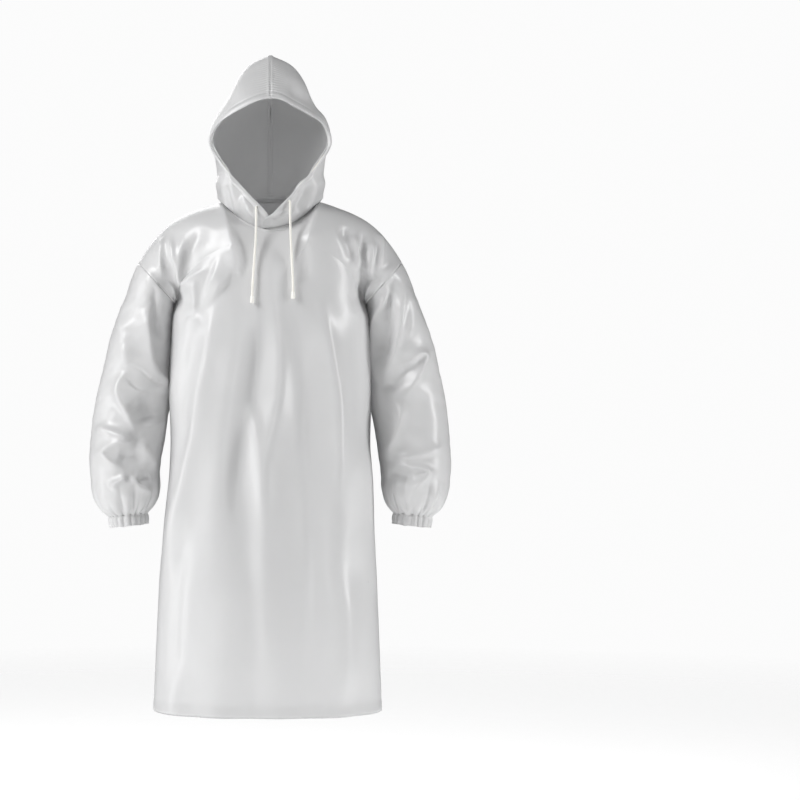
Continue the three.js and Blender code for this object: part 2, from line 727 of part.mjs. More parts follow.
// The drawstring inside its casing, from one exit over the brow to the other.
function innerDrawstring() {
  const depth = WALL + CORD_CLEARANCE + CORD_DIAMETER / 2;
  const half = (side) => {
    const start = exitPlace(side).v;
    const rows = [start, ...HOOD.vs.filter((v) => v > start + 0.03)];
    const points = rows.map((v) => {
      const p = HOOD.sample(rimInset(v, CASING_WIDTH / 2), v, depth);
      return side < 0 ? mirrored(p) : p;
    });
    return points.slice(0, -1);
  };
  const brow = HOOD.sample(rimInset(1, CASING_WIDTH / 2), 1, depth).setX(0);
  return cord([...half(1), brow, ...half(-1).reverse()], 48);
}

// The two loose tails: out of the exit holes, down the chest, and straight down at the end.
const TAIL_POINTS = {
  left: [
    [39.9, -118.4, -6.6], [40.6, -119.8, -7.2], [41, -120.8, -8.1], [41.3, -122.6, -11], [41.3, -124.4, -16],
    [41.2, -128.2, -28], [41.3, -132.4, -42], [41.6, -136.4, -57], [42, -140.4, -73], [42.6, -144.2, -89],
    [43.4, -147.6, -105], [44.2, -150.5, -121], [45, -152.8, -137], [45.8, -154.3, -153], [46.5, -155.1, -169],
    [47, -155.4, -184], [47.3, -155.4, -197], [47.3, -155.4, -207],
  ],
  right: [
    [-28.6, -121.1, -18.5], [-29.3, -122.6, -19], [-29.8, -124, -20.6], [-30, -125.6, -23.6], [-29.9, -127.6, -29],
    [-29.8, -131.6, -41], [-29.9, -136.2, -56], [-30.2, -140.6, -71], [-30.8, -144.8, -87], [-31.6, -148.6, -103],
    [-32.6, -151.7, -119], [-33.7, -154, -135], [-34.9, -155.6, -152], [-36, -156.4, -169], [-37.1, -156.7, -188],
    [-37.8, -156.7, -205], [-37.8, -156.7, -216],
  ],
};

// The moulded bell on the end of a tail, with its top at z = 0 and a socket for the cord.
function cordEnd() {
  const socket = CORD_DIAMETER / 2 + SEAM_GAP;
  const neck = socket + 0.8;
  const profile = [
    [0, -END_SOCKET],
    [socket, -END_SOCKET],
    [socket, 0],
    [neck, 0],
    [neck, -3.5],
    [lerp(neck, END_RADIUS, 0.6), -6],
    [END_RADIUS, -9],
    [END_RADIUS, -11.5],
    [END_RADIUS * 0.8, -13.8],
    [END_RADIUS * 0.42, -END_LENGTH],
    [0, -END_LENGTH],
  ];
  const points = profile.reverse().map(([r, z]) => new THREE.Vector2(r, z));
  return new THREE.LatheGeometry(points, 12).rotateX(Math.PI / 2);
}

// ---------------------------------------------------------------- the assembly

const FILM = { color: 0xdfe1e3, roughness: 0.32, metalness: 0, transparent: true, opacity: 0.72 };
const TAPE = { color: 0xe9eaec, roughness: 0.4, metalness: 0, transparent: true, opacity: 0.85 };
const CORD = { color: 0xf4f3ea, roughness: 0.85, metalness: 0 };
const ELASTIC = { color: 0xf0f0ee, roughness: 0.9, metalness: 0 };
const MOULDED = { color: 0xf5f4ec, roughness: 0.45, metalness: 0 };

const smock = new THREE.Group();

function add(name, geometry, finish, parent = smock) {
  const mesh = new THREE.Mesh(geometry, new THREE.MeshStandardMaterial(finish));
  mesh.name = name;
  parent.add(mesh);
  return mesh;
}

add("front_panel", sheetGeometry(FRONT), FILM);
add("back_panel", sheetGeometry(BACK), FILM);
add("front_hem_facing", hemFacing(FRONT), FILM);
add("back_hem_facing", hemFacing(BACK), FILM);
add("neck_seam_tape", neckTape(), TAPE);
add("hood_seam_tape", hoodTape(), TAPE);
add("drawstring", innerDrawstring(), CORD);

for (const [name, side] of [["left", 1], ["right", -1]]) {
  add(`${name}_sleeve`, sheetGeometry(SLEEVE, side), FILM);
  add(`${name}_hood_panel`, hoodPanel(side), FILM);
  add(`${name}_hood_casing`, hoodCasing(side), FILM);
  add(`${name}_side_tape`, sideTape(side), TAPE);
  add(`${name}_shoulder_tape`, shoulderTape(side), TAPE);
  add(`${name}_armhole_tape`, armholeTape(side), TAPE);
  add(`${name}_underarm_tape`, underarmTape(side), TAPE);

  const wrist = new THREE.Group();
  const { centre } = sleeveSection(1);
  wrist.position.set(side * centre.x, centre.y, centre.z);
  wrist.rotation.y = side * WRIST_TILT;
  smock.add(wrist);
  add(`${name}_cuff`, cuffCasing(), FILM, wrist);
  add(`${name}_cuff_elastic`, cuffElastic(), ELASTIC, wrist);

  const tail = TAIL_POINTS[name].map(([x, y, z]) => vec(x, y, z));
  add(`${name}_drawstring_tail`, cord(tail, 20), CORD);
  const end = add(`${name}_cord_end`, cordEnd(), MOULDED);
  end.position.copy(tail.at(-1)).setZ(tail.at(-1).z + END_SOCKET - SEAM_GAP);
}

export default smock;
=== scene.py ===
import math

import bpy
import numpy as np
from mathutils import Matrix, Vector


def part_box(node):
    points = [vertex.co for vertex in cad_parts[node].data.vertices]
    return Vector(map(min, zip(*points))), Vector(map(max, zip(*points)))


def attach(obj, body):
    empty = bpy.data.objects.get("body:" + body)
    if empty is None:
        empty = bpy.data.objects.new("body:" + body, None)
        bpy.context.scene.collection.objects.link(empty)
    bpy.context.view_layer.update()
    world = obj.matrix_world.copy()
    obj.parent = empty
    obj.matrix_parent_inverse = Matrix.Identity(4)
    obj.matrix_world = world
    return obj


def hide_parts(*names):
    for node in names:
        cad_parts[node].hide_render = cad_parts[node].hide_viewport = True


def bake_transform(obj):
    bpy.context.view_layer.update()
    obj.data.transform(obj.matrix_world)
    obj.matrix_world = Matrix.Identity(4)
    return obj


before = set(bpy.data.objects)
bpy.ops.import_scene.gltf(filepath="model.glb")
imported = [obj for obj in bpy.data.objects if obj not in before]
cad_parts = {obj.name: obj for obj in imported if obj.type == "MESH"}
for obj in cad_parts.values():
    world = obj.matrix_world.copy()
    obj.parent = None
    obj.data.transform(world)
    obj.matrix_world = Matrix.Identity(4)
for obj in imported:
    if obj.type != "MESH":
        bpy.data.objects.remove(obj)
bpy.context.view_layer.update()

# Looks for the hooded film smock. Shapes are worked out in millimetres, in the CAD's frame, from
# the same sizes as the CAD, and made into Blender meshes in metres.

MM = 0.001
TURN = 2 * math.pi
SIDES = ("left", "right")


def cad_box(node):
    """The lowest and highest corner of a CAD node, in millimetres."""
    low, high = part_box(node)
    return np.array(low) / MM, np.array(high) / MM


# --- sizes, in millimetres

FRONT_LOW, FRONT_HIGH = cad_box("front_panel")
BACK_LOW, BACK_HIGH = cad_box("back_panel")
HOOD_LOW, HOOD_HIGH = cad_box("left_hood_panel")

# Body
HEM_Z = FRONT_LOW[2]
HEM_HALF_WIDTH = 240
HEM_FRONT_DEPTH = -FRONT_LOW[1]
HEM_BACK_DEPTH = BACK_HIGH[1]
HEM_TURN = 24
CHEST_HALF_WIDTH = 204
CHEST_FRONT_DEPTH = 150
CHEST_BACK_DEPTH = 142
SIDE_SEAM_CURVE = 1.15
SHOULDER_ROUNDING = 112
SHOULDER_FULLNESS = 0.5
NECK_FULLNESS = 0.85
BODY_SQUARENESS = 2.4

# Armhole and neck
SHOULDER_TIP_X = FRONT_HIGH[0]
SHOULDER_TIP_Z = -129
ARMPIT_Z = -215
ARMHOLE_HALF_DEPTH = 85
SHOULDER_SLOPE = 50
SHOULDER_CURVE = 3.3
NECK_HALF_WIDTH = 107
NECK_FRONT_DEPTH = 104
NECK_BACK_DEPTH = 80
NECK_FRONT_DROP = 64
NECK_BACK_RISE = 16

# Sleeve and cuff
SLEEVE_DROP = 496
SLEEVE_SPREAD = 68
SLEEVE_BACK = 22
WRIST_FORWARD = 14
ELBOW_SHARE = 0.5
ELBOW_HALF_WIDTH = 82
ELBOW_HALF_DEPTH = 80
FOREARM_HALF_WIDTH = 74
GATHER_SHARE = 0.85
GATHER_CURVE = 2.6
UPRIGHT_SHARE = 0.45
WRIST_TILT = math.radians(6)
CUFF_RADIUS = 41

# Hood
HOOD_PEAK_Z = HOOD_HIGH[2]
HOOD_BACK_DEPTH = 125
HOOD_NECK_FULLNESS = 16
HOOD_NECK_CURVE = 1.2
HOOD_CROWN_FULLNESS = 34
HOOD_CROWN_REACH = 0.115
HOOD_AXIS_Z = 140
BROW = (0, -118, 210)
THROAT = (1, -124, -41)
THROAT_V = 0.08
CROWN_REAR = (0, 60, 300)
LAP = 15  # how far the wearer's left front lies over the right one below the throat
LAP_LIFT = 3.6
CASING_WIDTH = 20
CASING_RISE = 1.9
FACING_DEPTH = 0.9  # how deep the casing's inner layer lies at its edges
TUNNEL_DEPTH = 8.4  # and how much deeper in its middle
CASING_REACH = 0.35  # the share of a half hood's width within which the casing lies
EXIT_INSET = 13
EXIT_X = {"left": 39, "right": 28}
EXIT_RADIUS = 3.6

# Film, seams and cord
FILM_THICKNESS = 0.5
SEAM_GAP = 0.3
GROOVE_DEPTH = 0.8
GROOVE_WIDTH = 1.9
TAPE_WIDTH = 12
TAPE_THICKNESS = 0.35
TAPE_DEPTH = 1.1
TAPE_POINTS = (6, 3, 0.4)  # how far from its seam each row of a tape's points lies
NECK_TAPE_EXTRA = 0.6  # how much deeper the neck tape lies where it reaches up into the hood
CORD_DIAMETER = 5
CORD_STRANDS = 8
CORD_LAY = 9
CORD_RELIEF = 0.07
DRAWSTRING_DEPTH = 3.7
DRAWSTRING_INSET = 10.8
BUTTONHOLE_THREAD = 0.75
STITCH_DEPTH = 0.7
STITCH_LENGTH = 2.4
STITCH_PITCH = 3.4
STITCH_RADIUS = 0.28
CUFF_THICKNESS = 0.6
ELASTIC_THICKNESS = 0.8
ELASTIC_INSET = 1.9
ELASTIC_GATHER = 2.2
END_RADIUS = 4.3
END_LENGTH = 15
END_SOCKET = 9
IN_BUTTONHOLE = 4.5  # the length of a tail that lies inside its buttonhole

# How far the film departs from the CAD's plain surface
SIDE_FULLNESS = 7  # how far the body swells out beside the sleeves
SLEEVE_SLIMNESS = {"left": 3, "right": 6}  # how much less the upper sleeve stands out
HEM_SWING = 12  # how far the hem swings out on the wearer's right
HEM_WAVE = 4.5
HEM_WAVE_LENGTH = 118
COLLAR_RIDGE = 1.3  # the rounded edge of the neck seam, just below it
BODY_FOLD_GAIN = 2.1
SLEEVE_FOLD_GAIN = 1.7
HOOD_FOLD_GAIN = 1.5
BACK_FOLD_SHIFT = {"left": 0, "right": 19}  # how far up the folds behind a sleeve are moved
GATHER_MIDDLE = 0.6  # the mean height of the gathers' lobes, as a share
CUFF_GATHERS = (9, 5.2, 26)  # how many pairs of lobes, how deep, and how far up the sleeve they reach
WRIST_GATHERS = (5, 7.5, 62)  # the same for the broader ones above
GATHER_SHIFT = {"left": 0, "right": 1.7}  # so that the two cuffs' gathers differ

# The tails' routes, as in the CAD
TAIL_POINTS = {
    "left": [
        (39.9, -118.4, -6.6), (40.6, -119.8, -7.2), (41, -120.8, -8.1), (41.3, -122.6, -11),
        (41.3, -124.4, -16), (41.2, -128.2, -28), (41.3, -132.4, -42), (41.6, -136.4, -57),
        (42, -140.4, -73), (42.6, -144.2, -89), (43.4, -147.6, -105), (44.2, -150.5, -121),
        (45, -152.8, -137), (45.8, -154.3, -153), (46.5, -155.1, -169), (47, -155.4, -184),
        (47.3, -155.4, -197), (47.3, -155.4, -207),
    ],
    "right": [
        (-28.6, -121.1, -18.5), (-29.3, -122.6, -19), (-29.8, -124, -20.6), (-30, -125.6, -23.6),
        (-29.9, -127.6, -29), (-29.8, -131.6, -41), (-29.9, -136.2, -56), (-30.2, -140.6, -71),
        (-30.8, -144.8, -87), (-31.6, -148.6, -103), (-32.6, -151.7, -119), (-33.7, -154, -135),
        (-34.9, -155.6, -152), (-36, -156.4, -169), (-37.1, -156.7, -188), (-37.8, -156.7, -205),
        (-37.8, -156.7, -216),
    ],
}

CAMERA_DISTANCE = 4.778
CAMERA_HEIGHT = -0.4235
CAMERA_SHIFT = 0.162
LENS = 100
SENSOR_WIDTH = 36
FLOOR_HEIGHT = -1.5
FLOOR_RADIUS = 14


# --- numbers and curves


def smooth(x):
    """Rises from 0 to 1 as x does, level at both ends."""
    x = np.clip(x, 0, 1)
    return x * x * (3 - 2 * x)


def mix(a, b, share):
    return a + (b - a) * share


def bell(x, width):
    """1 at 0, falling away evenly on both sides."""
    return np.exp(-((x / width) ** 2))


def unit(vectors):
    return vectors / np.maximum(np.linalg.norm(vectors, axis=-1, keepdims=True), 1e-9)


def stack(x, y, z):
    return np.stack(np.broadcast_arrays(x, y, z), axis=-1).astype(float)


def on_side(points, side):
    """Points of the wearer's left side, mirrored if the side is the right one."""
    return points if side == "left" else points * [-1, 1, 1]


def from_axis(top):
    """The way out from an upright axis through the smock that ends at a height."""
    return lambda p: p - stack(0, 0, np.minimum(p[..., 2], top))


def spline(points, per_span=30):
    """A centripetal Catmull-Rom curve through points, as a dense line."""
    p = np.array(points, float)
    p = np.vstack([2 * p[0] - p[1], p, 2 * p[-1] - p[-2]])
    line = []
    for a, b, c, d in zip(p[:-3], p[1:-2], p[2:-1], p[3:]):
        gaps = (max(np.linalg.norm(gap), 1e-6) for gap in (b - a, c - b, d - c))
        t0, t1, t2, t3 = np.cumsum([0] + [gap**0.5 for gap in gaps])
        t = np.linspace(t1, t2, per_span, endpoint=False)[:, None]
        ab = (a * (t1 - t) + b * (t - t0)) / (t1 - t0)
        bc = (b * (t2 - t) + c * (t - t1)) / (t2 - t1)
        cd = (c * (t3 - t) + d * (t - t2)) / (t3 - t2)
        abc = (ab * (t2 - t) + bc * (t - t0)) / (t2 - t0)
        bcd = (bc * (t3 - t) + cd * (t - t1)) / (t3 - t1)
        line.append((abc * (t2 - t) + bcd * (t - t1)) / (t2 - t1))
    return np.vstack([*line, p[-2]])


def travelled(line):
    return np.concatenate([[0], np.cumsum(np.linalg.norm(np.diff(line, axis=0), axis=1))])


def along(line, share):
    """The point at a share of a line's length, for an array of shares."""
    length = travelled(line)
    return np.stack([np.interp(share * length[-1], length, line[:, i]) for i in range(3)], axis=-1)


# --- folds

# A fold is (route, height, width on its left, width on its right, sharpness): a crest along a
# route of (x, z) points as seen from the front, in millimetres. Left is the left hand of someone
# who walks along the route and sees +y away from them. A negative height is a valley.


def fold_height(x, z, folds, ends=0.3):
    """How far a set of folds lifts the surface at (x, z)."""
    total = np.zeros_like(x)
    at = np.stack([x.ravel(), z.ravel()], axis=-1)
    for route, height, left, right, crest in folds:
        line = spline(route, 8)
        starts, spans = line[:-1], np.diff(line, axis=0)
        lengths = np.maximum(np.linalg.norm(spans, axis=1), 1e-6)
        gap = at[:, None, :] - starts[None]
        share = np.clip((gap * spans).sum(-1) / lengths**2, 0, 1)
        off = gap - share[..., None] * spans
        distance = np.linalg.norm(off, axis=-1)
        nearest = distance.argmin(axis=1)
        pick = np.arange(len(at))
        side = spans[nearest, 0] * off[pick, nearest, 1] - spans[nearest, 1] * off[pick, nearest, 0]
        reach = np.where(side > 0, left, right)
        d = distance[pick, nearest]
        rounded = np.sqrt(d * d + crest * crest) - crest
        where = (travelled(line)[nearest] + share[pick, nearest] * lengths[nearest]) / lengths.sum()
        taper = smooth(where / ends) * smooth((1 - where) / ends)
        total += (height * np.exp(-((rounded / reach) ** 1.25)) * taper).reshape(x.shape)
    return total


def swell(x, z, scale, seed):
    """A soft, uneven surface of about -1 to 1 with bumps of about `scale` millimetres."""
    rng = np.random.default_rng(seed)
    total = np.zeros_like(x, dtype=float)
    for _ in range(7):
        turn = rng.uniform(0, TURN)
        size = scale * rng.uniform(0.7, 1.6)
        phase = rng.uniform(0, TURN)
        total += np.sin(TURN * (x * math.cos(turn) + z * math.sin(turn)) / size + phase)
    return total / 3.5


# --- grids


class Grid:
    """A surface as rows of points, with the way out at each."""

    def __init__(self, points, us, vs, outwards, closed=False):
        self.points, self.us, self.vs, self.closed = points, us, vs, closed
        self.outwards = outwards
        self.find_normals()

    def find_normals(self):
        p = self.points
        if self.closed:
            wrapped = np.concatenate([p[:, -2:-1], p, p[:, 1:2]], axis=1)
            across = wrapped[:, 2:] - wrapped[:, :-2]
        else:
            across = np.gradient(p, axis=1)
        normal = unit(np.cross(across, np.gradient(p, axis=0)))
        facing = np.sign((normal * self.outwards(p)).sum(-1, keepdims=True))
        facing[facing == 0] = 1
        self.normal = normal * facing

    def lift(self, height):
        self.points = self.points + self.normal * height[..., None]
        self.find_normals()

    def shift_x(self, distance):
        self.points[..., 0] += distance
        self.find_normals()

    def nearest_normal(self, p):
        gap = np.linalg.norm(self.points - p, axis=-1)
        return self.normal[np.unravel_index(gap.argmin(), gap.shape)]

    def from_edge(self, edge):
        """The distance along the grid from its first or last row or column."""
        axis = 0 if edge in ("bottom", "top") else 1
        from_last = edge in ("top", "right")
        points = np.flip(self.points, axis) if from_last else self.points
        steps = np.diff(points, axis=axis, prepend=np.take(points, [0], axis=axis))
        total = np.cumsum(np.linalg.norm(steps, axis=-1), axis=axis)
        return np.flip(total, axis) if from_last else total

    def sample(self, u, v, depth=0.0):
        """The point at (u, v), at a depth under the outer face, for arrays."""
        u, v, depth = (values.astype(float) for values in np.broadcast_arrays(u, v, depth))
        c = np.clip(np.searchsorted(self.us, u, side="right") - 1, 0, len(self.us) - 2)
        r = np.clip(np.searchsorted(self.vs, v, side="right") - 1, 0, len(self.vs) - 2)
        s = np.clip((u - self.us[c]) / (self.us[c + 1] - self.us[c]), 0, 1)[..., None]
        t = np.clip((v - self.vs[r]) / (self.vs[r + 1] - self.vs[r]), 0, 1)[..., None]

        def blend(values):
            low = values[r, c] * (1 - s) + values[r, c + 1] * s
            high = values[r + 1, c] * (1 - s) + values[r + 1, c + 1] * s
            return low * (1 - t) + high * t

        return blend(self.points) - unit(blend(self.normal)) * depth[..., None]

    def inset(self, v, distance, from_right=False, reach=0.6):
        """The u at a distance from the first column, or the last, along the row at v."""
        us = np.linspace(0, reach, 400) * (self.us[-1] - self.us[0])
        us = self.us[-1] - us if from_right else self.us[0] + us
        return np.interp(distance, travelled(self.sample(us, v)), us)

    def drop(self, u, distance, reach=0.4):
        """The v at a distance down from the last row, along the column at u."""
        vs = self.vs[-1] - np.linspace(0, reach, 400) * (self.vs[-1] - self.vs[0])
        return np.interp(distance, travelled(self.sample(u, vs)), vs)


# --- the body's surface

ARMPIT_V = (ARMPIT_Z - HEM_Z) / (SHOULDER_TIP_Z - HEM_Z)
NECK_U = NECK_HALF_WIDTH / SHOULDER_TIP_X
ARMHOLE_LOW = np.array([CHEST_HALF_WIDTH, 0, ARMPIT_Z])
ARMHOLE_HIGH = np.array([SHOULDER_TIP_X, 0, SHOULDER_TIP_Z])
ARMHOLE_CENTRE = (ARMHOLE_LOW + ARMHOLE_HIGH) / 2
ARMHOLE_ALONG = unit(ARMHOLE_HIGH - ARMHOLE_LOW)
ARMHOLE_NORMAL = np.array([ARMHOLE_ALONG[2], 0, -ARMHOLE_ALONG[0]])
ARMHOLE_HALF = np.linalg.norm(ARMHOLE_HIGH - ARMHOLE_LOW) / 2
ARMHOLE_TILT = math.atan2(ARMHOLE_ALONG[2], ARMHOLE_ALONG[0])


def neck_ring(angle):
    """The neck ring, from the front (0) round the wearer's left to the nape (pi)."""
    front = np.cos(angle) >= 0
    depth = np.where(front, NECK_FRONT_DEPTH, NECK_BACK_DEPTH)
    rise = np.where(front, -NECK_FRONT_DROP, NECK_BACK_RISE)
    return stack(NECK_HALF_WIDTH * np.sin(angle), -depth * np.cos(angle), rise * np.cos(angle) ** 2)


def side_edge(v):
    """The half width, height and depth of a body panel's side edge."""
    share = np.clip(v / ARMPIT_V, 0, 1)
    seam_x = mix(HEM_HALF_WIDTH, CHEST_HALF_WIDTH, 1 - (1 - share) ** SIDE_SEAM_CURVE)
    angle = math.pi * (v - ARMPIT_V) / (1 - ARMPIT_V)
    up = -ARMHOLE_HALF * np.cos(angle)
    above = v > ARMPIT_V
    x = np.where(above, ARMHOLE_CENTRE[0] + up * ARMHOLE_ALONG[0], seam_x)
    z = np.where(above, ARMHOLE_CENTRE[2] + up * ARMHOLE_ALONG[2], mix(HEM_Z, ARMPIT_Z, share))
    depth = np.where(above, ARMHOLE_HALF_DEPTH * np.sin(np.maximum(angle, 0)), 0)
    return x, z, depth


def body_surface(facing, u, v):
    """A body panel, front (-1) or back (+1), over u from side to side and v from hem to top."""
    size = np.abs(u)
    edge_x, edge_z, edge_depth = side_edge(v)
    top_x = size * SHOULDER_TIP_X
    on_neck = top_x < NECK_HALF_WIDTH
    angle = np.arcsin(np.minimum(1, top_x / NECK_HALF_WIDTH))
    neck = neck_ring(angle if facing < 0 else math.pi - angle)
    out = np.maximum(0, (top_x - NECK_HALF_WIDTH) / (SHOULDER_TIP_X - NECK_HALF_WIDTH))
    shoulder_z = -SHOULDER_SLOPE * out - (-SHOULDER_TIP_Z - SHOULDER_SLOPE) * out**SHOULDER_CURVE
    top_z = np.where(on_neck, neck[..., 2], shoulder_z)
    top_depth = np.where(on_neck, np.abs(neck[..., 1]), 0)
    z = mix(HEM_Z, top_z, (edge_z - HEM_Z) / (SHOULDER_TIP_Z - HEM_Z))

    low = np.maximum(0, (ARMPIT_Z - z) / (ARMPIT_Z - HEM_Z))
    chest, hem = CHEST_BACK_DEPTH, HEM_BACK_DEPTH
    if facing < 0:
        chest, hem = CHEST_FRONT_DEPTH, HEM_FRONT_DEPTH
    section = np.maximum(0, 1 - size**BODY_SQUARENESS) ** (1 / BODY_SQUARENESS)
    fall = np.clip((top_z - z) / SHOULDER_ROUNDING, 0, 1)
    soften = mix(NECK_FULLNESS, SHOULDER_FULLNESS, np.minimum(1, top_x / NECK_HALF_WIDTH) ** 3)
    rounding = np.maximum(0, 1 - (1 - fall) ** 2) ** soften
    depth = mix(top_depth, mix(chest, hem, low) * section, rounding)
    bulge = edge_depth * size**3
    total = np.maximum(np.cbrt(depth**3 + bulge**3), SEAM_GAP / 2)
    return stack(u * edge_x, facing * total, z)


def seam_groove(distance):
    return -GROOVE_DEPTH * bell(distance, GROOVE_WIDTH)


def away_from(distance, reach=14.0):
    """0 on a seam, rising to 1 at a distance, so that folds die out at seams."""
    return smooth(distance / reach)


# The front's folds as in the photograph, the viewer's left first
FRONT_FOLDS = [
    # long soft folds of the front
    ([(-104, -175), (-118, -240), (-136, -350), (-153, -470), (-176, -590), (-205, -720),
      (-228, -860)], 8, 24, 15, 4),
    ([(-146, -262), (-166, -340), (-182, -440), (-190, -560)], -6, 26, 24, 10),
    ([(-62, -210), (-72, -330), (-92, -470), (-112, -640), (-118, -820)], 5, 34, 34, 12),
    ([(-30, -205), (-24, -290), (-38, -420), (-62, -560), (-70, -700)], -5, 18, 20, 8),
    ([(-6, -80), (4, -180), (18, -290), (20, -400), (-6, -540), (-14, -700), (-8, -900),
      (0, -1060)], 7, 24, 20, 5),
    ([(-52, -395), (-34, -480), (-20, -580), (-14, -700)], 5, 14, 16, 5),
    ([(62, -205), (58, -290), (62, -430), (74, -600), (84, -780), (88, -980)], -6, 28, 28, 12),
    ([(105, -190), (114, -250), (126, -330), (140, -440), (143, -560), (140, -680)], 7, 14, 26, 4),
    ([(168, -215), (180, -330), (190, -450), (200, -580)], -5, 18, 22, 8),
    ([(196, -470), (212, -600), (224, -740), (230, -880)], 5, 12, 20, 4),
    ([(-176, -640), (-190, -780), (-196, -930), (-200, -1070)], -5, 20, 24, 8),
    ([(-60, -760), (-72, -900), (-76, -1070)], 4, 30, 30, 12),
    ([(150, -760), (158, -900), (160, -1070)], 5, 26, 30, 10),
    # pleats from the viewer's left shoulder
    ([(-224, -70), (-230, -115), (-231, -170)], 5, 7, 9, 2),
    ([(-214, -68), (-204, -110), (-196, -160), (-192, -215)], 5, 7, 7, 2),
    ([(-204, -120), (-199, -170), (-197, -240)], -5, 6, 8, 3),
    ([(-181, -72), (-186, -120), (-188, -165), (-178, -178), (-160, -164), (-140, -154),
      (-118, -160)], 6, 8, 12, 2),
    ([(-140, -52), (-158, -88), (-176, -130), (-181, -160)], -4, 14, 12, 4),
    ([(-132, -168), (-112, -176), (-92, -190)], 6, 22, 22, 8),
    ([(-156, -166), (-157, -205), (-154, -246)], 4, 7, 9, 2),
    ([(-172, -248), (-158, -254), (-143, -246)], 1.5, 7, 9, 3),
    # pleats from the viewer's right shoulder
    ([(150, -50), (166, -95), (180, -140)], -5, 12, 8, 4),
    ([(172, -70), (182, -105), (188, -150)], 5, 8, 8, 2),
    ([(193, -50), (196, -110), (199, -190), (201, -260)], -6, 8, 7, 3),
    ([(214, -76), (210, -120), (205, -170)], 6, 7, 9, 2),
    ([(232, -60), (233, -105), (231, -158)], 6, 7, 8, 2),
    # below the neck
    ([(-84, -78), (-74, -120), (-62, -175)], 3, 14, 14, 5),
    ([(78, -74), (70, -125), (64, -185)], -3, 16, 16, 5),
]

BACK_FOLDS = [
    ([(-6, -90), (2, -220), (-4, -420), (4, -640), (-4, -860), (0, -1060)], 6, 30, 26, 6),
    ([(-92, -110), (-104, -250), (-112, -430), (-128, -640), (-140, -860)], 7, 22, 20, 5),
    ([(90, -120), (98, -270), (112, -460), (126, -680), (136, -900)], 7, 20, 24, 5),
    ([(-46, -180), (-54, -360), (-60, -560), (-66, -800)], -6, 26, 26, 10),
    ([(44, -200), (52, -400), (60, -620), (64, -840)], -6, 26, 26, 10),
    ([(-150, -180), (-164, -360), (-176, -560)], -6, 22, 22, 8),
    ([(150, -190), (166, -380), (178, -600)], -6, 22, 22, 8),
    ([(-186, -520), (-204, -720), (-218, -920)], 6, 14, 20, 4),
    ([(184, -480), (200, -700), (216, -940)], 6, 20, 14, 4),
    ([(-216, -72), (-210, -120), (-203, -175)], 5, 7, 8, 2),
    ([(214, -74), (208, -122), (202, -180)], 5, 8, 7, 2),
    ([(-184, -70), (-178, -130), (-160, -190)], 5, 9, 12, 3),
    ([(182, -66), (174, -128), (156, -186)], 5, 12, 9, 3),
    ([(-70, -60), (-30, -84), (20, -84), (68, -62)], 3, 10, 14, 4),
]


def faced(grid, least=0.2):
    """1 where a surface faces forwards or back, less where it turns edge on, for the outline."""
    return mix(least, 1, smooth(np.abs(grid.normal[..., 1]) / 0.62))


def body_grid(facing, columns=148, rows=250):
    half = np.linspace(0, math.pi / 2, columns // 2 + 1)
    us = np.sin(half) ** (2 / BODY_SQUARENESS)
    us = np.concatenate([-us[:0:-1], us])
    vs = 1 - (1 - np.linspace(0, 1, rows)) ** 1.5
    u, v = np.meshgrid(us, vs)
    grid = Grid(body_surface(facing, u, v), us, vs, from_axis(ARMPIT_Z))
    x, z = grid.points[..., 0], grid.points[..., 2]
    top = grid.from_edge("top")
    seams = np.minimum.reduce([grid.from_edge("left"), grid.from_edge("right"), top])

    folds = BODY_FOLD_GAIN * fold_height(x, z, FRONT_FOLDS if facing < 0 else BACK_FOLDS)
    low = np.clip((ARMPIT_Z - z) / (ARMPIT_Z - HEM_Z), 0, 1)
    wave = np.sin(TURN * x / HEM_WAVE_LENGTH + (0.6 if facing < 0 else 2.1))
    flare = HEM_WAVE * low**1.5 * wave * smooth((230 - np.abs(x)) / 60)
    soft = 1.6 * swell(x, z * 0.4, 120, 11 - facing) + 0.15 * swell(x, z * 0.8, 34, 21 - facing)
    collar = COLLAR_RIDGE * (bell(top - 4.5, 2.2) - 0.5 * bell(top - 9.5, 2.4))
    collar = collar * smooth((NECK_HALF_WIDTH + 6 - np.abs(x)) / 12)
    grid.lift((folds * faced(grid) + flare + soft) * away_from(seams) + collar + seam_groove(seams))

    full = smooth((np.abs(x) - 110) / 70) * smooth((-208 - z) / 40) * smooth((z + 540) / 150)
    swing = smooth(-x / HEM_HALF_WIDTH) * smooth((-560 - z) / 280)
    grid.shift_x(np.sign(x) * SIDE_FULLNESS * full - HEM_SWING * swing)
    return grid


# --- the sleeve's surface

SPREAD = spline([(0, 0, 0), (0.1, 0.24, 0), (0.26, 0.52, 0), (0.5, 0.76, 0), (0.8, 1, 0), (1, 0.9, 0)])


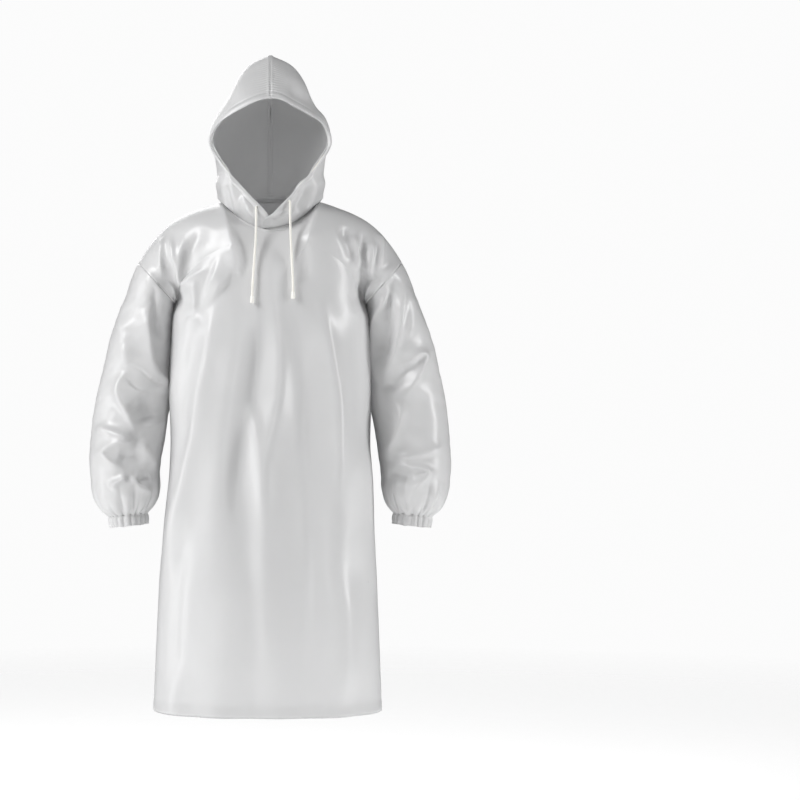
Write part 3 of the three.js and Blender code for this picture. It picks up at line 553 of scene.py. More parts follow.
def sleeve_section(t):
    """The half width, half depth, tilt and centre of the left sleeve, over t from armhole to cuff."""
    upper = smooth(t / ELBOW_SHARE)
    lower = np.clip((t - ELBOW_SHARE) / (GATHER_SHARE - ELBOW_SHARE), 0, 1) ** 2
    close = np.maximum(0, (t - GATHER_SHARE) / (1 - GATHER_SHARE)) ** GATHER_CURVE

    def width(start, middle):
        return mix(mix(mix(start, middle, upper), FOREARM_HALF_WIDTH, lower), CUFF_RADIUS, close)

    out = np.interp(t, SPREAD[:, 0], SPREAD[:, 1])
    tilt = ARMHOLE_TILT * np.maximum(0, 1 - t / UPRIGHT_SHARE) ** 1.5 - WRIST_TILT * t**3
    centre = stack(
        ARMHOLE_CENTRE[0] + ARMHOLE_NORMAL[0] * SEAM_GAP + SLEEVE_SPREAD * out,
        SLEEVE_BACK * np.sin(math.pi * t) - WRIST_FORWARD * t * t,
        ARMHOLE_CENTRE[2] + ARMHOLE_NORMAL[2] * SEAM_GAP - SLEEVE_DROP * t,
    )
    half_width = width(ARMHOLE_HALF, ELBOW_HALF_WIDTH)
    return half_width, width(ARMHOLE_HALF_DEPTH, ELBOW_HALF_DEPTH), tilt, centre


def sleeve_surface(turn, t):
    half, depth, tilt, centre = sleeve_section(t)
    angle = TURN * turn
    across = half * np.cos(angle)
    return centre + stack(across * np.cos(tilt), depth * np.sin(angle), across * np.sin(tilt))


def gathers(angle, count, shift):
    """Round lobes with sharp gaps between them, not all alike, with a mean height of about 0."""
    uneven = 0.55 * np.sin(2 * angle + 1 + shift) + 0.5 * np.sin(5 * angle + 2.2 * shift + 0.4)
    return np.abs(np.sin(count * angle + uneven)) ** 0.7 - GATHER_MIDDLE


# Folds of the sleeve at the viewer's left, then of the one at the viewer's right, from the front
SLEEVE_FRONT_FOLDS = {
    "right": [
        ([(-262, -215), (-261, -275), (-256, -330), (-247, -360), (-229, -386), (-240, -398),
          (-275, -388)], 8, 12, 16, 2),
        ([(-318, -235), (-318, -300), (-306, -362)], 5, 14, 14, 4),
        ([(-300, -362), (-318, -372), (-327, -392), (-324, -415), (-308, -445), (-292, -476),
          (-281, -500)], 8, 22, 9, 1.5),
        ([(-378, -474), (-350, -487), (-318, -497), (-281, -505)], 6, 10, 12, 2),
        ([(-276, -508), (-310, -514), (-338, -522), (-352, -536), (-340, -553), (-316, -566),
          (-300, -582)], 8, 9, 16, 1.5),
        ([(-298, -584), (-318, -596), (-342, -612)], 6, 8, 10, 1.5),
        ([(-280, -506), (-266, -530), (-254, -552), (-246, -580)], 6, 14, 9, 1.5),
        ([(-298, -584), (-278, -603), (-254, -626)], 6, 10, 9, 1.5),
        ([(-284, -412), (-262, -440), (-252, -480)], -9, 22, 22, 8),
        ([(-325, -540), (-296, -546), (-268, -540)], -6, 12, 12, 4),
        ([(-286, -600), (-270, -592), (-256, -584)], -5, 9, 9, 3),
        ([(-246, -176), (-242, -230), (-236, -300)], -5, 8, 10, 3),
    ],
    "left": [
        ([(234, -160), (246, -196), (226, -243), (217, -300), (218, -350), (229, -383)], 7, 8, 9, 1.5),
        ([(262, -150), (252, -230), (246, -300), (236, -360)], -9, 16, 16, 6),
        ([(282, -146), (279, -212), (274, -282), (259, -344), (236, -383)], 8, 10, 14, 1.5),
        ([(297, -180), (300, -240), (300, -305)], 5, 12, 12, 3),
        ([(228, -404), (262, -390), (292, -362), (312, -342)], -7, 12, 12, 4),
        ([(262, -352), (292, -344), (316, -326), (331, -328), (326, -350), (304, -390),
          (284, -420)], 7, 10, 9, 1.5),
        ([(284, -418), (279, -455), (270, -495), (258, -530), (259, -556)], 7, 9, 16, 1.5),
        ([(257, -558), (292, -564), (324, -569), (333, -576), (322, -592), (304, -612),
          (292, -640)], 8, 9, 9, 1.5),
        ([(262, -552), (300, -545), (340, -532), (372, -516)], 6, 10, 10, 2),
        ([(252, -576), (280, -582), (306, -584)], -5, 9, 9, 3),
        ([(318, -400), (326, -450), (316, -510)], -4, 22, 22, 8),
    ],
}
SLEEVE_BACK_FOLDS = [
    ([(240, -180), (262, -250), (300, -330), (340, -380)], 7, 14, 10, 2),
    ([(284, -150), (290, -230), (312, -310)], 6, 10, 12, 2),
    ([(232, -300), (268, -360), (318, -400), (360, -410)], 7, 14, 12, 2),
    ([(240, -390), (280, -430), (330, -450), (366, -446)], 7, 12, 14, 2),
    ([(262, -500), (300, -486), (340, -500), (372, -530)], 7, 12, 10, 2),
    ([(256, -560), (290, -548), (330, -560), (356, -590)], 6, 10, 12, 2),
    ([(262, -420), (300, -466), (344, -478)], -6, 14, 14, 5),
    ([(262, -530), (304, -516), (350, -548)], -6, 12, 12, 4),
]


def sleeve_grid(side, columns=160, rows=230):
    sign = 1 if side == "left" else -1
    us = np.linspace(0, 1, columns + 1)
    vs = 1 - (1 - np.linspace(0, 1, rows)) ** 1.25
    u, v = np.meshgrid(us, vs)
    centre = on_side(sleeve_section(v)[3], side)
    grid = Grid(on_side(sleeve_surface(u, v), side), us, vs, lambda p: p - centre, closed=True)
    x, z = grid.points[..., 0], grid.points[..., 2]
    angle = TURN * u
    from_cuff, from_armhole = grid.from_edge("top"), grid.from_edge("bottom")

    faces_front = smooth(0.5 - 0.9 * np.sin(angle))
    front = SLEEVE_FOLD_GAIN * fold_height(x, z, SLEEVE_FRONT_FOLDS[side]) * faces_front
    behind = fold_height(np.abs(x), z - BACK_FOLD_SHIFT[side], SLEEVE_BACK_FOLDS) * (1 - faces_front)
    soft = 1.5 * swell(angle * 70, z, 95, 31 + sign) + 0.4 * swell(angle * 70, z, 30, 41 + sign)
    folds = (front + behind) * faced(grid) + soft
    seams = np.minimum(from_armhole, from_cuff + 6)
    folds = folds * away_from(seams, 16) * smooth((from_cuff - 8) / 40)

    shift = GATHER_SHIFT[side]
    count, depth, reach = CUFF_GATHERS
    fine = gathers(angle, count, shift) * depth * np.exp(-((from_cuff / reach) ** 1.3))
    count, depth, reach = WRIST_GATHERS
    broad = gathers(angle, count, shift + 2) * depth * smooth(from_cuff / 25) * bell(from_cuff, reach)
    slim = smooth((z + 470) / 130) * smooth((-150 - z) / 60) * smooth((np.abs(x) - 230) / 60)
    grid.lift(folds + fine + broad + seam_groove(from_armhole))
    grid.shift_x(-sign * SLEEVE_SLIMNESS[side] * slim)
    return grid


# --- the hood's surface

RIM_HALF = [
    tuple(neck_ring(0.0)), THROAT, (48, -114, 13), (103, -95, 76), (128, -85, 120),
    (112, -91, 157), (66, -106, 186),
]
RIM = spline([*RIM_HALF, BROW, *[(-x, y, z) for x, y, z in reversed(RIM_HALF)]], 60)
CROWN_RISE = (0, BROW[1] / 2, mix(BROW[2], HOOD_PEAK_Z, 0.6))
CROWN_SEAM = spline([BROW, CROWN_RISE, (0, 0, HOOD_PEAK_Z), CROWN_REAR], 60)
NECK_FRONT, NECK_BACK = neck_ring(0.0), neck_ring(math.pi)
BACK_SEAM = spline(
    [
        tuple(NECK_BACK),
        (0, mix(NECK_BACK[1], HOOD_BACK_DEPTH, 0.45), mix(NECK_BACK[2], CROWN_REAR[2], 0.12)),
        (0, HOOD_BACK_DEPTH, mix(NECK_BACK[2], CROWN_REAR[2], 0.5)),
        (0, mix(HOOD_BACK_DEPTH, CROWN_REAR[1], 0.35), mix(NECK_BACK[2], CROWN_REAR[2], 0.8)),
        CROWN_REAR,
    ],
    60,
)


def hood_surface(u, v):
    """The left half of the hood, over u from the rim to the back seam and v from neck to crown."""
    su, sv = u[..., None], v[..., None]
    low = neck_ring(math.pi * u)
    p = low * (1 - sv) + along(CROWN_SEAM, u) * sv
    p = p + along(RIM, v / 2) * (1 - su) + along(BACK_SEAM, v) * su
    p -= NECK_FRONT * (1 - su) * (1 - sv) + np.array(BROW) * (1 - su) * sv
    p -= NECK_BACK * su * (1 - sv) + np.array(CROWN_REAR) * su * sv
    arch = np.sin(math.pi * u)
    above_neck = (256 / 27) * v * (1 - v) ** 3
    reach = (1 - v) / HOOD_CROWN_REACH
    under_crown = reach * np.exp((1 - reach * reach) / 2)
    p[..., 0] += low[..., 0] * ((1 - v) ** HOOD_NECK_CURVE - (1 - v))
    p[..., 0] += HOOD_NECK_FULLNESS * arch * above_neck
    p[..., 0] += HOOD_CROWN_FULLNESS * np.maximum(arch, 0) ** 0.7 * under_crown
    p[..., 0] = np.maximum(p[..., 0], SEAM_GAP / 2)
    p[..., 2] += SEAM_GAP * (1 - v)
    return p


HOOD_FOLDS = {
    "right": [
        ([(-96, 62), (-92, 20), (-84, -18), (-76, -44)], 6, 8, 9, 2),
        ([(-84, 58), (-76, 18), (-66, -20), (-58, -48)], 5, 6, 8, 2),
        ([(-90, 40), (-82, 0), (-74, -34)], -4, 4, 4, 2),
        ([(-110, 60), (-108, 20), (-102, -20)], 4, 8, 8, 3),
        ([(-62, 8), (-46, -16), (-34, -30), (-20, -40)], 4, 5, 6, 1.5),
        ([(-52, -14), (-36, -34), (-18, -48)], 3, 4, 5, 1.5),
    ],
    "left": [
        ([(96, 58), (90, 22), (80, -14), (68, -44)], 5, 8, 9, 2),
        ([(84, 44), (72, 10), (58, -18), (42, -38)], -6, 9, 9, 3),
        ([(110, 64), (108, 24), (100, -18)], 5, 8, 8, 3),
        ([(58, -12), (42, -26), (22, -36), (0, -44)], 4, 5, 6, 1.5),
        ([(52, -28), (34, -40), (12, -50), (-6, -54)], -3, 4, 5, 1.5),
        ([(112, 176), (92, 204), (62, 222), (30, 232)], -4, 10, 12, 4),
    ],
}


def hood_grid(side, columns=120, rows=190):
    sign = 1 if side == "left" else -1
    us = np.linspace(0, 1, columns + 1) ** 1.15
    vs = 1 - (1 - np.linspace(0, 1, rows)) ** 1.35
    u, v = np.meshgrid(us, vs)
    points = on_side(hood_surface(u, v), side)
    if side == "left":
        across = smooth(1 - u / 0.16)
        points[..., 0] -= LAP * (smooth((0.11 - v) / 0.07) * across)
        points[..., 1] -= LAP_LIFT * smooth((0.13 - v) / 0.03) * across * smooth(v / 0.012)
    grid = Grid(points, us, vs, from_axis(HOOD_AXIS_Z))
    x, y, z = np.moveaxis(grid.points, -1, 0)
    from_rim, from_neck, from_crown, from_back = map(grid.from_edge, ("left", "bottom", "top", "right"))

    folds = HOOD_FOLD_GAIN * fold_height(x, z, HOOD_FOLDS[side]) * smooth((0.62 - u) / 0.2)
    soft = 1.5 * swell(y + x, z, 95, 51 + sign) + 0.1 * swell(y + x, z, 30, 61 + sign)
    seams = np.minimum.reduce([from_neck, from_crown + 2, from_back + 2])
    folds = (folds + soft) * away_from(seams, 12) * away_from(from_rim, 10)

    tunnel = CASING_RISE * np.sin(math.pi * np.clip(from_rim / (CASING_WIDTH - 3), 0, 1)) ** 0.8
    tunnel = tunnel * smooth((v - 0.05) / 0.05)
    stitched = -STITCH_DEPTH * bell(from_rim - CASING_WIDTH, 1.6)
    puckers = np.sin(TURN * (y + 0.6 * z) / 8.5 + 1.4 * swell(x, z, 40, 3))
    puckers = 0.8 * puckers * np.exp(-from_crown / 13) * smooth((0.8 - u) / 0.3)
    ridge = 0.7 * bell(np.minimum(from_crown, from_back) - 4, 2.5)
    groove = seam_groove(np.minimum.reduce([from_neck, from_crown, from_back]))
    grid.lift(folds + puckers + tunnel + stitched + (ridge + groove) * smooth(from_rim / 6))
    return grid


# --- meshes


def make_mesh(name, points, faces):
    mesh = bpy.data.meshes.new(name)
    mesh.from_pydata([tuple(p) for p in points * MM], [], faces)
    mesh.validate()
    piece = bpy.data.objects.new(name, mesh)
    bpy.context.scene.collection.objects.link(piece)
    for polygon in mesh.polygons:
        polygon.use_smooth = True
    return piece


def grid_faces(rows, columns, closed=False, keep=None):
    """Quads over a grid; a closed grid's last column is its first one again."""
    faces = []
    width = columns - 1 if closed else columns
    for r in range(rows - 1):
        for c in range(columns - 1):
            if keep is not None and not keep[r, c]:
                continue
            d = (c + 1) % width
            faces.append((r * width + c, r * width + d, (r + 1) * width + d, (r + 1) * width + c))
    return faces


def sheet_piece(name, points, closed=False, thickness=FILM_THICKNESS, outwards=None, keep=None):
    """A sheet with a wall: points are rows of its outer face, turned the way out if it is given."""
    rows, columns = points.shape[:2]
    flat = points[:, :-1] if closed else points
    faces = grid_faces(rows, columns, closed, keep)
    if outwards is not None:
        r, c = rows // 2, columns // 2
        middle = points[r, c]
        normal = np.cross(points[r, c + 1] - middle, points[r + 1, c] - middle)
        if np.dot(normal, outwards(middle)) < 0:
            faces = [face[::-1] for face in faces]
    piece = make_mesh(name, flat.reshape(-1, 3), faces)
    wall = piece.modifiers.new("wall", "SOLIDIFY")
    wall.thickness = thickness * MM
    wall.offset = -1
    return piece


def tube_points(line, radius, sides, relief):
    """Rings round a line; relief(turn, distance) scales the radius."""
    tangent = unit(np.gradient(line, axis=0))
    first = unit(np.cross(tangent[0], [1.0, 0.3, 0.1]))
    normals = [first]
    for t in tangent[1:]:
        n = normals[-1] - t * np.dot(normals[-1], t)
        normals.append(n / np.linalg.norm(n))
    normal = np.array(normals)
    other = np.cross(tangent, normal)
    turn = np.linspace(0, TURN, sides, endpoint=False)
    scale = relief(turn[None], travelled(line)[:, None])
    rings = normal[:, None] * np.cos(turn)[:, None] + other[:, None] * np.sin(turn)[:, None]
    return line[:, None] + rings * (radius * scale)[..., None]


def closed_tube(name, rings):
    """A tube with its two ends closed."""
    rows, sides = rings.shape[:2]
    points = np.vstack([rings.reshape(-1, 3), rings[0].mean(0), rings[-1].mean(0)])
    faces = grid_faces(rows, sides + 1, closed=True)
    last, start, end = (rows - 1) * sides, rows * sides, rows * sides + 1
    faces += [(start, (s + 1) % sides, s) for s in range(sides)]
    faces += [(end, last + s, last + (s + 1) % sides) for s in range(sides)]
    return make_mesh(name, points, faces)


# --- materials


def clear_nodes(owner):
    """The emptied node tree of a material or world."""
    owner.use_nodes = True
    owner.node_tree.nodes.clear()
    return owner.node_tree


def new_material(name):
    material = bpy.data.materials.new(name)
    return material, clear_nodes(material)


def node(tree, kind, inputs=(), output=0, **settings):
    """Adds a node, sets or links its inputs, and returns one of its outputs."""
    made = tree.nodes.new("ShaderNode" + kind)
    for name, value in settings.items():
        setattr(made, name, value)
    for key, value in dict(inputs).items():
        if isinstance(value, bpy.types.NodeSocket):
            tree.links.new(value, made.inputs[key])
        else:
            made.inputs[key].default_value = value
    return made.outputs[output] if len(made.outputs) else None


def noise(tree, place, scale, detail, roughness=0.5):
    inputs = {"Vector": place, "Scale": scale, "Detail": detail, "Roughness": roughness}
    return node(tree, "TexNoise", inputs, "Fac")


def ramp(tree, value, low, high):
    """Maps a value between two colours, which it reaches a little before 0 and 1."""
    made = tree.nodes.new("ShaderNodeValToRGB")
    for stop, position, colour in zip(made.color_ramp.elements, (0.1, 0.9), (low, high)):
        stop.position = position
        stop.color = (*colour, 1)
    tree.links.new(value, made.inputs["Fac"])
    return made.outputs["Color"]


def grey(value):
    return (value, value, value)


def bump(tree, height, strength, distance, under=None):
    """A bump of a height in metres, over another one."""
    inputs = {"Strength": strength, "Distance": distance, "Height": height}
    if under is not None:
        inputs["Normal"] = under
    return node(tree, "Bump", inputs)


def film_material(name, light, dark, clear, glow):
    """Satin translucent film: a glossy milky face that passes some light."""
    material, tree = new_material(name)
    place = node(tree, "TexCoord", output="Object")
    clouds = noise(tree, place, 9, 3)
    smears = noise(tree, place, 26, 2)
    crinkle = bump(tree, noise(tree, place, 48, 3), 0.12, 0.0014)
    normal = bump(tree, noise(tree, place, 900, 2), 0.05, 0.0002, crinkle)
    face = node(tree, "BsdfPrincipled", {
        "Base Color": ramp(tree, clouds, dark, light),
        "Roughness": ramp(tree, smears, grey(0.26), grey(0.37)),
        "Specular IOR Level": 0.55,
        "Coat Weight": 0.16,
        "Coat Roughness": 0.22,
        "Normal": normal,
    })
    back = node(tree, "BsdfTranslucent", {"Color": (0.9, 0.9, 0.902, 1), "Normal": normal})
    window = node(tree, "BsdfTransparent", {"Color": (0.97, 0.975, 0.98, 1)})
    through = node(tree, "MixShader", {0: glow, 1: face, 2: back})
    node(tree, "OutputMaterial", {"Surface": node(tree, "MixShader", {0: clear, 1: through, 2: window})})
    return material


def matt_material(name, light, dark, scale, roughness, relief, sheen=0.0):
    """A plain material with a fine grain, such as cord yarn, thread, elastic or moulded plastic."""
    material, tree = new_material(name)
    place = node(tree, "TexCoord", output="Object")
    tone = noise(tree, place, scale, 4, 0.6)
    wear = noise(tree, place, scale * 2, 2)
    face = node(tree, "BsdfPrincipled", {
        "Base Color": ramp(tree, tone, dark, light),
        "Roughness": ramp(tree, wear, grey(roughness - 0.07), grey(roughness + 0.07)),
        "Sheen Weight": sheen,
        "Normal": bump(tree, tone, 0.35, relief),
    })
    node(tree, "OutputMaterial", {"Surface": face})
    return material


FILM = film_material("film", (0.8, 0.8, 0.802), (0.75, 0.751, 0.754), 0.04, 0.2)
TAPE = film_material("seam_tape", (0.88, 0.88, 0.882), (0.82, 0.821, 0.824), 0.05, 0.16)
CORD = matt_material("cord", (0.95, 0.935, 0.885), (0.82, 0.8, 0.74), 900, 0.8, 0.0002, 0.3)
MOULDED = matt_material("cord_end", (0.95, 0.94, 0.9), (0.9, 0.885, 0.84), 120, 0.42, 0.0001)
ELASTIC = matt_material("elastic", (0.93, 0.93, 0.92), (0.8, 0.8, 0.79), 1400, 0.85, 0.0002, 0.2)
THREAD = matt_material("thread", (0.9, 0.9, 0.9), (0.74, 0.745, 0.75), 2000, 0.7, 0.0001, 0.2)


def finish_piece(piece, material, body=None, replaces=()):
    piece.data.materials.append(material)
    if body:
        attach(piece, body)
    if replaces:
        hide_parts(*replaces)
    return piece


# --- cords


def braid(turn, distance):
    """A round braid's relief: strands that cross over each other, each a lay long."""
    one, two = (np.cos(CORD_STRANDS / 2 * turn + way * TURN * distance / CORD_LAY) for way in (1, -1))
    return 0.95 + CORD_RELIEF * np.maximum(one, two)


def even(line, gap):
    count = int(round(travelled(line)[-1] / gap))
    return along(line, np.linspace(0, 1, count + 1))


def cord_end(side, around=48):
    """The moulded bell at a tail's end, with a crimped neck."""
    top = np.array(TAIL_POINTS[side][-1]) + [0, 0, END_SOCKET - SEAM_GAP]
    socket = CORD_DIAMETER / 2 + SEAM_GAP
    neck = socket + 0.8
    outline = spline(
        [
            (neck - 0.2, 0, -0.05), (neck, 0, -0.5), (neck, 0, -2.2), (neck - 0.3, 0, -3),
            (neck, 0, -3.9), (mix(neck, END_RADIUS, 0.55), 0, -6), (END_RADIUS, 0, -9),
            (END_RADIUS, 0, -11.5), (END_RADIUS * 0.82, 0, -13.8),
            (END_RADIUS * 0.42, 0, -END_LENGTH + 0.1), (0.4, 0, -END_LENGTH),
        ],
        6,
    )
    rim = [(socket, 0, -END_SOCKET + 2), (socket, 0, -0.3), (socket + 0.3, 0, 0)]
    outline = np.vstack([rim, outline])
    turn = np.linspace(0, TURN, around + 1)
    radius, z = outline[:, :1], outline[:, 2:]
    points = stack(radius * np.cos(turn), radius * np.sin(turn), z) + top
    ends = [top - [0, 0, END_LENGTH], top - [0, 0, END_SOCKET - 2]]
    points, rows = np.vstack([points[:, :-1].reshape(-1, 3), ends]), len(points)
    faces = grid_faces(rows, around + 1, closed=True)
    last, tip, floor = (rows - 1) * around, rows * around, rows * around + 1
    faces += [(last + s, last + (s + 1) % around, tip) for s in range(around)]
    faces += [((s + 1) % around, s, floor) for s in range(around)]
    piece = make_mesh(f"{side}_moulded_end", points, faces)
    return finish_piece(piece, MOULDED, f"{side}_tail", [f"{side}_cord_end"])


def tail(side):
    """A drawstring tail: a braided cord that leaves its buttonhole and hangs down the chest."""
    route = spline(TAIL_POINTS[side], 24)
    inside = route[0] + (route[0] - route[6]) / np.linalg.norm(route[0] - route[6]) * IN_BUTTONHOLE
    line = even(np.vstack([inside, route]), 0.8)
    piece = closed_tube(f"{side}_tail_cord", tube_points(line, CORD_DIAMETER / 2, 32, braid))
    finish_piece(piece, CORD, None, [f"{side}_drawstring_tail"])
    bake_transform(piece)
    return piece, line


for side in SIDES:
    end_piece = cord_end(side)
    cord_piece, cord_line = tail(side)


# --- the body's pieces

front, back = body_grid(-1), body_grid(1)
sleeves = {side: sleeve_grid(side) for side in SIDES}
hoods = {side: hood_grid(side) for side in SIDES}


def body_piece(name, grid, replaces):
    """A body panel whose hem is folded up inside it."""
    heights = np.array([24, 23, 18, 12, 6, 2, 0.4]) / (SHOULDER_TIP_Z - HEM_Z)
    depths = [1.5, 1.7, 1.9, 1.9, 1.9, 1.7, 0.8]
    inner = np.stack([grid.sample(grid.us, height, depth) for height, depth in zip(heights, depths)])
    outer = grid.points
    from_hem = np.linalg.norm(outer - outer[:1], axis=-1)
    groove = STITCH_DEPTH * bell(from_hem - HEM_TURN + 2, 2.2)
    outer = outer - groove[..., None] * grid.normal
    piece = sheet_piece(name, np.concatenate([inner, outer]), outwards=from_axis(ARMPIT_Z))
    return finish_piece(piece, FILM, "torso", replaces)


front_film = body_piece("front_film", front, ["front_panel", "front_hem_facing"])
back_film = body_piece("back_film", back, ["back_panel", "back_hem_facing"])


def strip(name, rows, body, replaces, closed=False):
    """A thin tape through rows of points."""
    piece = sheet_piece(name, np.array(rows), closed=closed, thickness=TAPE_THICKNESS)
    return finish_piece(piece, TAPE, body, replaces)


def under_edge(v, from_right):
    """Where a distance in from a side edge is, at a height v."""
    return lambda grid, distance: (grid.inset(v, distance, from_right), v)


def under_top(u):
    """Where a distance down from the top edge is, in a column u."""
    return lambda grid, distance: (u, grid.drop(u, distance))


def across_seam(grids, place, distances):
    """Points just under a seam, from one grid over it to the other."""
    one, other = ([grid.sample(*place(grid, d), TAPE_DEPTH) for d in distances] for grid in grids)
    return [*one, *other[::-1]]


def neck_tape():
    """A band inside the neck seam, all the way round, from the hood down to the body."""
    rows = []
    angles = np.linspace(0, TURN, 181)
    for distance in (5.0, 2.5, 0.6):
        row = []
        for angle in angles:
            half = hoods["left" if angle <= math.pi else "right"]
            u = min(angle, TURN - angle) / math.pi
            low = np.linspace(0, 0.1, 40)
            v = np.interp(distance, travelled(half.sample(u, low)), low)
            row.append(half.sample(u, v, TAPE_DEPTH + NECK_TAPE_EXTRA))
        rows.append(row)
    for distance in (1.0, 4.0, 8.0, 1.0 + TAPE_WIDTH):
        row = []
        for angle in angles:
            grid = front if math.cos(angle) >= 0 else back
            u = NECK_HALF_WIDTH * math.sin(angle) / SHOULDER_TIP_X
            row.append(grid.sample(u, grid.drop(u, distance), TAPE_DEPTH))
        rows.append(row)
    strip("neck_tape", rows, "torso", ["neck_seam_tape"], closed=True)


neck_tape()
for side in SIDES:
    rows = [
        across_seam((front, back), under_edge(v, side == "left"), (6, 3, 0.3))
        for v in np.linspace(0.035, ARMPIT_V - 0.02, 90)
    ]
    strip(f"{side}_side_seam_tape", rows, "torso", [f"{side}_side_tape"])
    sign = 1 if side == "left" else -1
    rows = [
        across_seam((front, back), under_top(u), (6, 3, 0.5))
        for u in np.linspace(NECK_U + 0.06, 0.93, 50) * sign
    ]
    strip(f"{side}_shoulder_seam_tape", rows, "torso", [f"{side}_shoulder_tape"])


# --- sleeves and cuffs


def sleeve_blend(piece):
    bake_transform(piece)


def sleeve_pieces(side):
    grid = sleeves[side]
    centres = on_side(sleeve_section(np.linspace(0, 1, 60))[3], side)

    def outwards(p):
        return p - centres[np.abs(centres[:, 2] - p[2]).argmin()]

    film = sheet_piece(f"{side}_sleeve_film", grid.points, closed=True, outwards=outwards)
    sleeve_blend(finish_piece(film, FILM, None, [f"{side}_sleeve"]))

    down = grid.vs[np.searchsorted(grid.vs, 0.12)]
    rows = [grid.sample(grid.us, d / 62 * down, TAPE_DEPTH) for d in (2, 6, 10, 2 + TAPE_WIDTH)]
    sleeve_blend(strip(f"{side}_armhole_seam_tape", rows, None, [f"{side}_armhole_tape"], True))

    under = 0.5 + np.array([-6, -3, 0, 3, 6]) / (TURN * 70)
    rows = [grid.sample(under, t, TAPE_DEPTH) for t in np.linspace(0.05, 0.93, 120)]
    sleeve_blend(strip(f"{side}_underarm_seam_tape", rows, None, [f"{side}_underarm_tape"]))


def face_out(piece, way, index=0):
    """Turns a piece's faces so that one of them looks along the way out at its place."""
    polygon = piece.data.polygons[index]
    if np.dot(np.array(polygon.normal), way(np.array(polygon.center) / MM)) < 0:
        piece.data.flip_normals()


# The cuff's section, from the sleeve down and up inside: how far out, how high, how deep the gathers
CUFF_PROFILE = [
    (0.0, -0.2, 4.2), (0.4, -1.2, 3.4), (-0.3, -2.6, 3.2), (0.9, -5, 4.0), (1.3, -9, 4.4),
    (1.2, -14, 4.4), (0.9, -18.5, 4.2), (-0.1, -20.6, 3.4), (0.6, -22.4, 3.8), (0.3, -23.8, 4.0),
    (-0.9, -24.3, 3.8), (-2.6, -23.4, 3.0), (-3.6, -20, 2.6), (-3.8, -12, 2.6), (-3.8, -5, 2.6),
]


def cuff_pieces(side):
    """The cuff: film gathered over its elastic, turned up inside."""
    shift = GATHER_SHIFT[side]
    angle = np.linspace(0, TURN, 241)
    centre = sleeve_section(np.array(1.0))[3]
    lobes = gathers(angle, CUFF_GATHERS[0], shift)
    flutter = 0.5 * np.sin(7 * angle + shift) + 0.3 * np.sin(13 * angle + 2 * shift)
    cos, sin = math.cos(WRIST_TILT), math.sin(WRIST_TILT)

    def ring(radius, z):
        x, y = radius * np.cos(angle), radius * np.sin(angle)
        return on_side(stack(x * cos + z * sin, y, -x * sin + z * cos) + centre, side)

    rows = []
    for out, z, depth in CUFF_PROFILE:
        row = ring(CUFF_RADIUS + out + depth * lobes, z + flutter * (1.0 if z < -20 else 0.25))
        rows += [mix(rows[-1], row, 0.5), row] if rows else [row]
    film = sheet_piece(f"{side}_cuff_film", np.array(rows), closed=True, thickness=CUFF_THICKNESS)
    face_out(film, lambda p: (p - on_side(centre, side)) * [1, 1, 0])
    finish_piece(film, FILM, f"{side}_sleeve", [f"{side}_cuff"])

    radius = CUFF_RADIUS - ELASTIC_INSET + ELASTIC_GATHER * lobes
    band = np.array([ring(radius, z) for z in (-4.5, -8, -12, -16, -21)])
    elastic = sheet_piece(f"{side}_elastic_band", band, closed=True, thickness=ELASTIC_THICKNESS)
    finish_piece(elastic, ELASTIC, f"{side}_sleeve", [f"{side}_cuff_elastic"])


for side in SIDES:
    sleeve_pieces(side)
    cuff_pieces(side)


# --- hood


def hood_blend(piece):
    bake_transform(piece)


def in_casing(grid, v, distance):
    """The u at a distance in from the rim, near it."""
    return grid.inset(v, distance, reach=CASING_REACH)


def exit_uv(side):
    """Where the drawstring leaves the casing, on the hood's grid."""
    grid = hoods[side]
    vs = np.linspace(THROAT_V, 0.35, 160)
    xs = [abs(grid.sample(in_casing(grid, v, EXIT_INSET), v)[0]) for v in vs]
    v = np.interp(EXIT_X[side], xs, vs)
    return in_casing(grid, v, EXIT_INSET), v


def tunnel_depth(share):
    """How deep the casing's inner layer lies, from the rim (0) to its stitched edge (1)."""
    return FACING_DEPTH + TUNNEL_DEPTH * math.sin(math.pi * min(max(share, 0), 1)) ** 0.65


def hood_pieces(side):
    grid = hoods[side]
    u_exit, v_exit = exit_uv(side)
    hole = grid.sample(u_exit, v_exit)
    # the facing, from its free edge to the rim
    facing = np.stack([
        [grid.sample(in_casing(grid, v, share * CASING_WIDTH), v, tunnel_depth(share)) for v in grid.vs]
        for share in (1.0, 0.97, 0.85, 0.7, 0.55, 0.4, 0.25, 0.12, 0.04)
    ], axis=1)
    points = np.concatenate([facing, grid.points], axis=1)
    centres = (points[:-1, :-1] + points[1:, :-1] + points[:-1, 1:] + points[1:, 1:]) / 4
    keep = np.linalg.norm(centres - hole, axis=-1) > EXIT_RADIUS
    keep[:, : facing.shape[1]] = True
    film = sheet_piece(f"{side}_hood_film", points, keep=keep)
    face_out(film, grid.nearest_normal, len(film.data.polygons) // 2)
    finish_piece(film, FILM, None, [f"{side}_hood_panel", f"{side}_hood_casing"])
    hood_blend(film)

    ahead = grid.sample(u_exit, v_exit + 0.004) - hole
    across = unit(grid.sample(u_exit + 0.01, v_exit) - hole)
    up = unit(ahead - across * np.dot(ahead, across))
    turn = np.linspace(0, TURN, 49)[:, None]
    loop = even(hole + (EXIT_RADIUS + 0.6) * (across * np.cos(turn) + up * np.sin(turn)), 0.3)

    def stitched(angle, distance):
        return 1 + 0.12 * np.cos(TURN * distance / 0.9) * np.ones_like(angle)

    ring = closed_tube(f"{side}_buttonhole", tube_points(loop, BUTTONHOLE_THREAD, 10, stitched))
    hood_blend(finish_piece(ring, THREAD))


